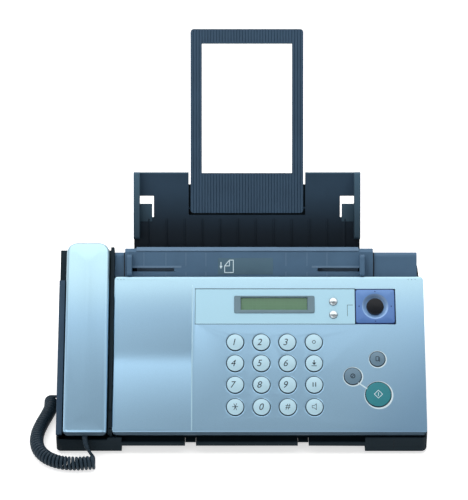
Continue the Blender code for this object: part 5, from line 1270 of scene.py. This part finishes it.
def scoop_line():
    """Places up the slope and heights of the scoop: each end falls to the valley by a power of its run, and
    the line is then blurred, so that the valley is soft."""
    start, valley, end = SCOOP_RUN
    place = np.linspace(*SCOOP_ENDS, SCOOP_POINTS)
    upper = np.clip((place - start) / (valley - start), 0.0, 1.0) ** SCOOP_POWERS[0]
    lower = np.clip((end - place) / (end - valley), 0.0, 1.0) ** SCOOP_POWERS[1]
    blur = np.hanning(SCOOP_BLUR)
    half = len(blur) // 2
    fall = np.convolve(np.pad(np.minimum(upper, lower), half, mode="edge"), blur / blur.sum(), "same")
    return from_top(place), PANEL_TOP + SCOOP_LIFT - SCOOP_FALL * fall[half:half + SCOOP_POINTS]


class FAX_OT_scoop(bpy.types.Operator):
    """Make the soft scoop of the panel beside the handset"""

    bl_idname = "fax.scoop"
    bl_label = "Scoop"

    def execute(self, context):
        """Carry the scoop's line across the panel, with a round edge at its left."""
        along, height = scoop_line()
        part = EDGE_SHARE * SCOOP_EDGE
        left, right = SCOOP_SIDES
        floor = [(along[-1], PANEL_TOP - SCOOP_FLOOR), (along[0], PANEL_TOP - SCOOP_FLOOR)]
        rings = []
        for across, drop in ((left, SCOOP_EDGE), (left + part, part), (left + SCOOP_EDGE, 0.0), (right, 0.0)):
            outline = np.concatenate([np.column_stack([along, height - drop]), floor])
            rings.append(prism(outline, (across,))[0])
        add_piece("panel_scoop", skin(on_panel(rings)), "silver", "control_panel", (), SCOOP_SHARP)
        return {"FINISHED"}


# Panel marks: ends of lines across and below the panel's top edge, with the line's width
# The first three lines are the dark joints round the screen's plate; the top one is wider, a painted shadow
PANEL_LINES = (
    ((-0.0474, 0.014), (0.1165, 0.014), 0.0007), ((-0.0474, 0.052), (0.1165, 0.052), 0.0004),
    ((-0.0474, 0.052), (-0.0474, 0.014), 0.0003), ((0.1141, 0.0315), (0.1088, 0.0315), 0.0004),
    ((0.1088, 0.0315), (0.1088, 0.0433), 0.0004),
)
KEY_LINK = ((0.1190, 0.1146), (0.1276, 0.1204), 0.0012)
LINE_FACES = (PANEL_TOP - 0.0002, PANEL_TOP + 0.00004)
DOTS = (-0.1271, -0.1240, -0.1209, 0.1719, 0.1755, 0.1791)
DOTS_FROM_TOP = 0.0039
DOT_RADIUS = 0.00035
DOT_SIDES = 12
CREASE_X = -0.0503
CREASE_ENDS = (0.0100, 0.1640)
CREASE_POINTS = 40
CREASE_RADIUS = 0.00055
CREASE_SIDES = 12
CREASE_DEPTH = 0.0003


def panel_line(start, end, width):
    """A thin line on the panel between two points that are given across and below its top edge."""
    return bar((start[0], from_top(start[1])), (end[0], from_top(end[1])), width, *LINE_FACES)


class FAX_OT_panel_marks(bpy.types.Operator):
    """Make the crease's bead, the lines round the screen's plate, the dots and the link between two keys"""

    bl_idname = "fax.panel_marks"
    bl_label = "Panel marks"

    def execute(self, context):
        """Lay flat bars and discs on the panel, and a round bead along the crease."""
        lines = [panel_line(*line) for line in PANEL_LINES]
        lines += [polygon(circle(DOT_SIDES) * DOT_RADIUS + (x, from_top(DOTS_FROM_TOP)), *LINE_FACES) for x in DOTS]
        add_marks("panel_lines", lines, on_panel, "dark_mark", "control_panel")
        add_marks("key_link", [panel_line(*KEY_LINK)], on_panel, "white_mark", "control_panel")
        # The bead along the crease takes the pale key finish, a painted highlight line
        along = from_top(np.linspace(*CREASE_ENDS, CREASE_POINTS))
        path = level(np.column_stack([np.full(CREASE_POINTS, CREASE_X), along]), PANEL_TOP - CREASE_DEPTH)
        bead = skin(on_panel(swept(path, CREASE_RADIUS, CREASE_SIDES)))
        add_piece("crease_highlight_bead", bead, "key_pale", "control_panel", (), RING_SHARP)
        return {"FINISHED"}


# Feeder marks, in the document table's frame: a bar's shape is its width, foot and top
TABLE_RIBS = (-0.1008, -0.0780, -0.0573, -0.0366, 0.0463, 0.0681, 0.0888)
RIB_RUNS = ((0.0015, 0.0085), (0.0150, 0.0285))
RIB_SHAPE = (0.0005, -0.0002, 0.00015)
SLOT_LIPS = ((-0.1115, -0.0630), (0.0740, 0.1215))
LIP_ALONG = 0.0141
LIP_SHAPE = (0.0019, -0.0002, 0.0001)
LABEL = (-0.0241, 0.0329, 0.0061, 0.0232)
LABEL_SHAPE = (0.0008, -0.0002, 0.00012, 0.0001)
SEAMS = (-0.1209, 0.1371)
SEAM_RUN = (0.0005, 0.0285)
SEAM_SHAPE = (0.0009, -0.0010, 0.0002)
# Feeding sign: a page with a folded corner, and an arrow beside it
FEED_PAGE = ((-0.0172, 0.0082), (-0.0082, 0.0082), (-0.0082, 0.0210), (-0.0122, 0.0210), (-0.0172, 0.0150))
FEED_FOLD = (-0.0122, 0.0150)
FEED_ARROW = ((-0.0226, 0.0150), (-0.0194, 0.0150), (-0.0210, 0.0120))
FEED_SHAFT = ((-0.0210, 0.0185), (-0.0210, 0.0150))
FEED_FACES = (0.0, 0.00016)
FEED_SHAPE = (0.0008, *FEED_FACES)
SHAFT_SHAPE = (0.0009, *FEED_FACES)


class FAX_OT_feeder(bpy.types.Operator):
    """Make the table's fine ribs, the painted highlights along the lips of its slots and its bare label with a
    feeding sign
    """

    bl_idname = "fax.feeder"
    bl_label = "Document feeder"

    def execute(self, context):
        """Lay low bars along the table, a thin plate, and a page with an arrow on it."""
        # The ribs and the slots' lips take the lighter lip finish, a painted highlight
        ribs = [bar((x, start), (x, end), *RIB_SHAPE) for x in TABLE_RIBS for start, end in RIB_RUNS]
        add_marks("table_ribs", ribs, on_table, "lip", "base")
        lips = [bar((start, LIP_ALONG), (end, LIP_ALONG), *LIP_SHAPE) for start, end in SLOT_LIPS]
        add_marks("slot_lip_highlights", lips, on_table, "lip", "base")
        plate = skin(on_table(slab(*LABEL, *LABEL_SHAPE)))
        add_piece("feeder_label", plate, "label", "base", (), PLATE_SHARP)
        marks = [loop(FEED_PAGE, *FEED_SHAPE), bar(FEED_PAGE[3], FEED_FOLD, *FEED_SHAPE),
                 bar(FEED_FOLD, FEED_PAGE[4], *FEED_SHAPE), bar(*FEED_SHAFT, *SHAFT_SHAPE),
                 polygon(FEED_ARROW, *FEED_FACES)]
        add_marks("feeder_sign", marks, on_table, "white_mark", "base")
        seams = [bar((x, SEAM_RUN[0]), (x, SEAM_RUN[1]), *SEAM_SHAPE) for x in SEAMS]
        add_marks("cover_seams", seams, on_table, "black", "base")
        return {"FINISHED"}


# Outer walls of the base, in the machine's frame
BACK = 0.205
FLOOR_FACE = 0.003


def upright(points, face, side):
    """World places of points given across, up and out from a wall that faces forwards or back."""
    across, up, out = np.moveaxis(np.asarray(points, dtype=float), -1, 0)
    return on_machine(np.stack([across, face + side * out, up], axis=-1))


# World places of points out from the front wall and from the back wall
ahead_of = partial(upright, face=0.0, side=-1.0)
behind = partial(upright, face=BACK, side=1.0)


def beneath(points):
    """World places of points given across, back and out from the floor of the base."""
    across, back, out = np.moveaxis(np.asarray(points, dtype=float), -1, 0)
    return on_machine(np.stack([across, back, FLOOR_FACE - out], axis=-1))


# Front: the strips that close the bar's notches, and the block's seam
NOTCHES = (-0.0515, 0.0625)
NOTCH_HALF = 0.0053
NOTCH_RUN = (0.0055, 0.0145)
NOTCH_SHAPE = (0.0003, 0.0099, 0.0111, 0.0002)
BLOCK_SEAM = ((0.1541, 0.0060), (0.1541, 0.0170), 0.0004, -0.0002, 0.00006)


class FAX_OT_front(bpy.types.Operator):
    """Make the strips behind the paper bar's notches and the seam of the right block"""

    bl_idname = "fax.front"
    bl_label = "Base front"

    def execute(self, context):
        """Lay a plate in each notch and a thin upright line on the block."""
        plates = [skin(on_machine(slab(x - NOTCH_HALF, x + NOTCH_HALF, *NOTCH_RUN, *NOTCH_SHAPE))) for x in NOTCHES]
        add_piece("notch_strips", joined(plates), "dark", "base", (), PLATE_SHARP)
        add_marks("block_seam", [bar(*BLOCK_SEAM)], ahead_of, "black", "base")
        return {"FINISHED"}


# Back and underside: louvres by their ends, the lowest's foot, their number, pitch and height
LOUVRE_ENDS = (0.030, 0.150)
LOUVRE_FOOT = 0.056
LOUVRE_COUNT = 10
LOUVRE_PITCH = 0.0036
LOUVRE_HEIGHT = 0.0022
LOUVRE_ROOT = -0.0002
LOUVRE_REACH = (0.0013, 0.0001)
# The dark strips between the louvres are painted shadow: how far they stand out, and their inset from the ends
LOUVRE_GAP_REACH = 0.00006
LOUVRE_GAP_INSET = 0.0008
INLET = (0.120, 0.030)
INLET_HALF = (0.0098, 0.0048)
INLET_SHAPE = (0.001, -0.0024, -0.0018, 0.0001)
PINS = (-0.0042, 0.0042)
PIN_DEPTHS = (-0.0050, -0.0008)
PIN_RADIUS = 0.0012
PIN_SIDES = 20
JACK_X = -0.090
WIRES = np.linspace(-0.0030, 0.0030, 6)
WIRE_ENDS = ((0.0345, -0.0050), (0.0315, -0.0012))
WIRE_RADIUS = 0.0003
WIRE_SIDES = 8
CONTACT_POINTS = 8
BACK_SCREWS = ((-0.172, 0.014), (0.172, 0.014), (-0.172, 0.088), (0.172, 0.088))
FLOOR_SCREWS = ((-0.150, 0.072), (0.150, 0.072), (-0.120, 0.190), (0.120, 0.190))
SCREW_PROFILE = np.concatenate([[(0.0032, -0.0002)], fillet(0.0032, 0.0007, 0.0007), [(0.0001, 0.00075)]])
SCREW_SEGMENTS = 28
# Dark crosses on the screw heads, a painted shadow for their recesses
CROSS_ARMS = np.array([(0.0019, 0.0), (0.0, 0.0019)])
CROSS_SHAPE = (0.0007, 0.0005, 0.0008)


class FAX_OT_back(bpy.types.Operator):
    """Make the louvres, the sockets' contacts and the screws of the back and underside"""

    bl_idname = "fax.back"
    bl_label = "Back and underside"

    def execute(self, context):
        """Carry a wedge along each louvre, sweep the contacts and turn the screws."""
        self.louvres()
        self.sockets()
        self.screws()
        return {"FINISHED"}

    @staticmethod
    def louvres():
        """Wedges one above the other, with a dark strip above each, a painted shadow in the slot."""
        left, right = LOUVRE_ENDS
        inner = (left + LOUVRE_GAP_INSET, right - LOUVRE_GAP_INSET)
        blades, gaps = [], []
        for row in range(LOUVRE_COUNT):
            foot = LOUVRE_FOOT + row * LOUVRE_PITCH
            top, following = foot + LOUVRE_HEIGHT, foot + LOUVRE_PITCH
            wedge = [(foot, LOUVRE_ROOT), (foot, LOUVRE_REACH[0]), (top, LOUVRE_REACH[1]), (top, LOUVRE_ROOT)]
            strip = [(top, LOUVRE_ROOT), (top, LOUVRE_GAP_REACH), (following, LOUVRE_GAP_REACH),
                     (following, LOUVRE_ROOT)]
            blades.append(skin(behind(prism(wedge, LOUVRE_ENDS))))
            gaps.append(skin(behind(prism(strip, inner))))
        add_piece("louvres", joined(blades), "dark", "base")
        add_piece("louvre_gap_shadows", joined(gaps), "groove", "base")

    @staticmethod
    def sockets():
        """Round pins and a floor in the inlet, and thin slanted wires in the jack."""
        x, y = INLET
        contacts = []
        for shift in PINS:
            path = np.linspace((x + shift, y, PIN_DEPTHS[0]), (x + shift, y, PIN_DEPTHS[1]), CONTACT_POINTS)
            contacts.append(skin(behind(swept(path, PIN_RADIUS, PIN_SIDES))))
        for shift in WIRES:
            start, end = [(JACK_X + shift, *place) for place in WIRE_ENDS]
            path = np.linspace(start, end, CONTACT_POINTS)
            contacts.append(skin(behind(swept(path, WIRE_RADIUS, WIRE_SIDES))))
        half, rise = INLET_HALF
        plate = slab(x - half, x + half, y - rise, y + rise, *INLET_SHAPE)
        add_piece("inlet_floor", skin(behind(plate)), "black", "base", (), PLATE_SHARP)
        add_piece("socket_contacts", joined(contacts), "bright_steel", "base", (), PLATE_SHARP)

    @staticmethod
    def screws():
        """Domed screw heads with dark crosses in them, a painted shadow for the recessed crosses."""
        heads, crosses = [], []
        for centres, face in ((BACK_SCREWS, behind), (FLOOR_SCREWS, beneath)):
            for centre in centres:
                heads.append(skin(face(turned(SCREW_PROFILE, centre, SCREW_SEGMENTS))))
                for arm in CROSS_ARMS:
                    points, faces = bar(centre - arm, centre + arm, *CROSS_SHAPE)
                    crosses.append((face(points), faces))
        add_piece("screw_heads", joined(heads), "steel", "base", (), PLATE_SHARP)
        add_piece("screw_cross_shadows", joined(crosses), "groove", "base")


# Pieces that keep their solid's shape: node, finish, body, share of the edge rounding, slot if not its finish's own
FEET = ("foot_front_left", "foot_front_right", "foot_rear_left", "foot_rear_right")
SHELLS = (
    ("base_casing", "dark", "base", 1.0), ("rear_cover", "grey_blue", "base", 1.6),
    ("document_table", "grey_blue", "base", 0.8), ("hopper_front", "lip", "base", 0.6),
    ("paper_tray", "tray", "base", 0.8), ("handset_cradle", "dark", "base", 1.2),
    ("guide_left", "grey_blue", "guide_left", 0.8, "dark_plastic"),
    ("guide_right", "grey_blue", "guide_right", 0.8, "dark_plastic"),
    ("control_panel", "silver", "control_panel", 1.0), ("display_plate", "display", "control_panel", 0.3),
    ("lcd_bezel", "bezel", "control_panel", 0.5), ("lcd_window", "crystal", "control_panel", 0.3),
    ("panel_board", "board", "control_panel", 0.0), ("main_board", "board", "base", 0.0),
    ("print_chassis", "steel", "base", 0.0), ("power_supply", "steel", "base", 1.0),
    ("carriage_motor", "steel", "base", 0.6), ("carriage_rod", "bright_steel", "base", 0.0),
    ("print_carriage", "dark", "print_carriage", 0.8), ("ink_cartridge", "black", "print_carriage", 1.2),
    ("feed_roller", "roller", "feed_roller", 0.4), ("document_roller", "roller", "document_roller", 0.4),
    ("guide_pinion", "nylon", "guide_pinion", 0.0), ("hook_switch", "nylon", "hook_switch", 0.4),
    *[(foot, "rubber", "base", 0.8) for foot in FEET],
)
# Where the panel's front edge bends down: the faces below it take a darker finish, a painted shade
NOSE_BEND = (-0.0015, 0.0036)
RIM_LEFT = -0.1814
RIM_FOOT = -0.0060


class FAX_OT_shells(bpy.types.Operator):
    """Round the edges of the covers and the inner works, and give them their finishes"""

    bl_idname = "fax.shells"
    bl_label = "Covers and works"

    def execute(self, context):
        """Dress each solid in its own finish."""
        more = {"control_panel": self.nose, "paper_tray": self.walls, "handset_cradle": self.rim}
        for node, finish, body, share, *slot in SHELLS:
            piece = dressed(node, finish, body, share * context.scene.fax_look.edge, *slot)
            if node in more:
                more[node](piece.data)
        return {"FINISHED"}

    @staticmethod
    def walls(mesh):
        """Give the tray's side walls and its upper edge a lighter finish, a painted highlight."""
        across, along = face_places(mesh, TRAY_AXIS, TRAY_SLOPE)[:2]
        more_finishes(mesh, ["tray_wall"], (np.abs(across - TRAY_CENTRE) > WALL_FROM) | (along > TRAY_TOP))

    @staticmethod
    def nose(mesh):
        """Give the faces below the bend of the panel's front edge a darker finish, a painted shade."""
        along, height = face_places(mesh, PANEL_AXIS, PANEL_SLOPE)[1:]
        below = ((along < NOSE_BEND[0]) & (height < NOSE_BEND[1])) | ((along < -NOSE_BEND[0]) & (height < 0.0))
        more_finishes(mesh, ["nose"], below)

    @staticmethod
    def rim(mesh):
        """Give the cradle's left rim a lighter finish."""
        across, height = face_places(mesh, PANEL_AXIS, PANEL_SLOPE)[::2]
        more_finishes(mesh, ["extension"], (across < RIM_LEFT) & (height > RIM_FOOT))


class FAX_PT_sidebar(bpy.types.Panel):
    """List the machine's settings and the steps that make it"""

    bl_idname = "FAX_PT_sidebar"
    bl_label = "Fax machine"
    bl_space_type = "VIEW_3D"
    bl_region_type = "UI"
    bl_category = "Fax machine"

    def draw(self, context):
        """Show every property, then every operator in its order."""
        look = context.scene.fax_look
        for name in FaxLook.__annotations__:
            self.layout.prop(look, name)
        for operator in OPERATORS:
            self.layout.operator(operator.bl_idname)


OPERATORS = (FAX_OT_stage, FAX_OT_cord, FAX_OT_shells, FAX_OT_scoop, FAX_OT_keys, FAX_OT_navigation,
             FAX_OT_panel_marks, FAX_OT_handset, FAX_OT_extension, FAX_OT_tray, FAX_OT_feeder, FAX_OT_front,
             FAX_OT_back)


def register():
    """Add the classes and the settings to Blender."""
    for part in (FaxLook, *OPERATORS, FAX_PT_sidebar):
        bpy.utils.register_class(part)
    bpy.types.Scene.fax_look = PointerProperty(type=FaxLook)


def unregister():
    """Take the settings and the classes out again."""
    del bpy.types.Scene.fax_look
    for part in reversed((FaxLook, *OPERATORS, FAX_PT_sidebar)):
        bpy.utils.unregister_class(part)


def main():
    """Register, then make every piece in order."""
    register()
    bpy.ops.fax.stage()
    bpy.ops.fax.cord()
    bpy.ops.fax.shells()
    bpy.ops.fax.scoop()
    bpy.ops.fax.keys()
    bpy.ops.fax.navigation()
    bpy.ops.fax.panel_marks()
    bpy.ops.fax.handset()
    bpy.ops.fax.extension()
    bpy.ops.fax.tray()
    bpy.ops.fax.feeder()
    bpy.ops.fax.front()
    bpy.ops.fax.back()


if __name__ == "__main__":
    main()
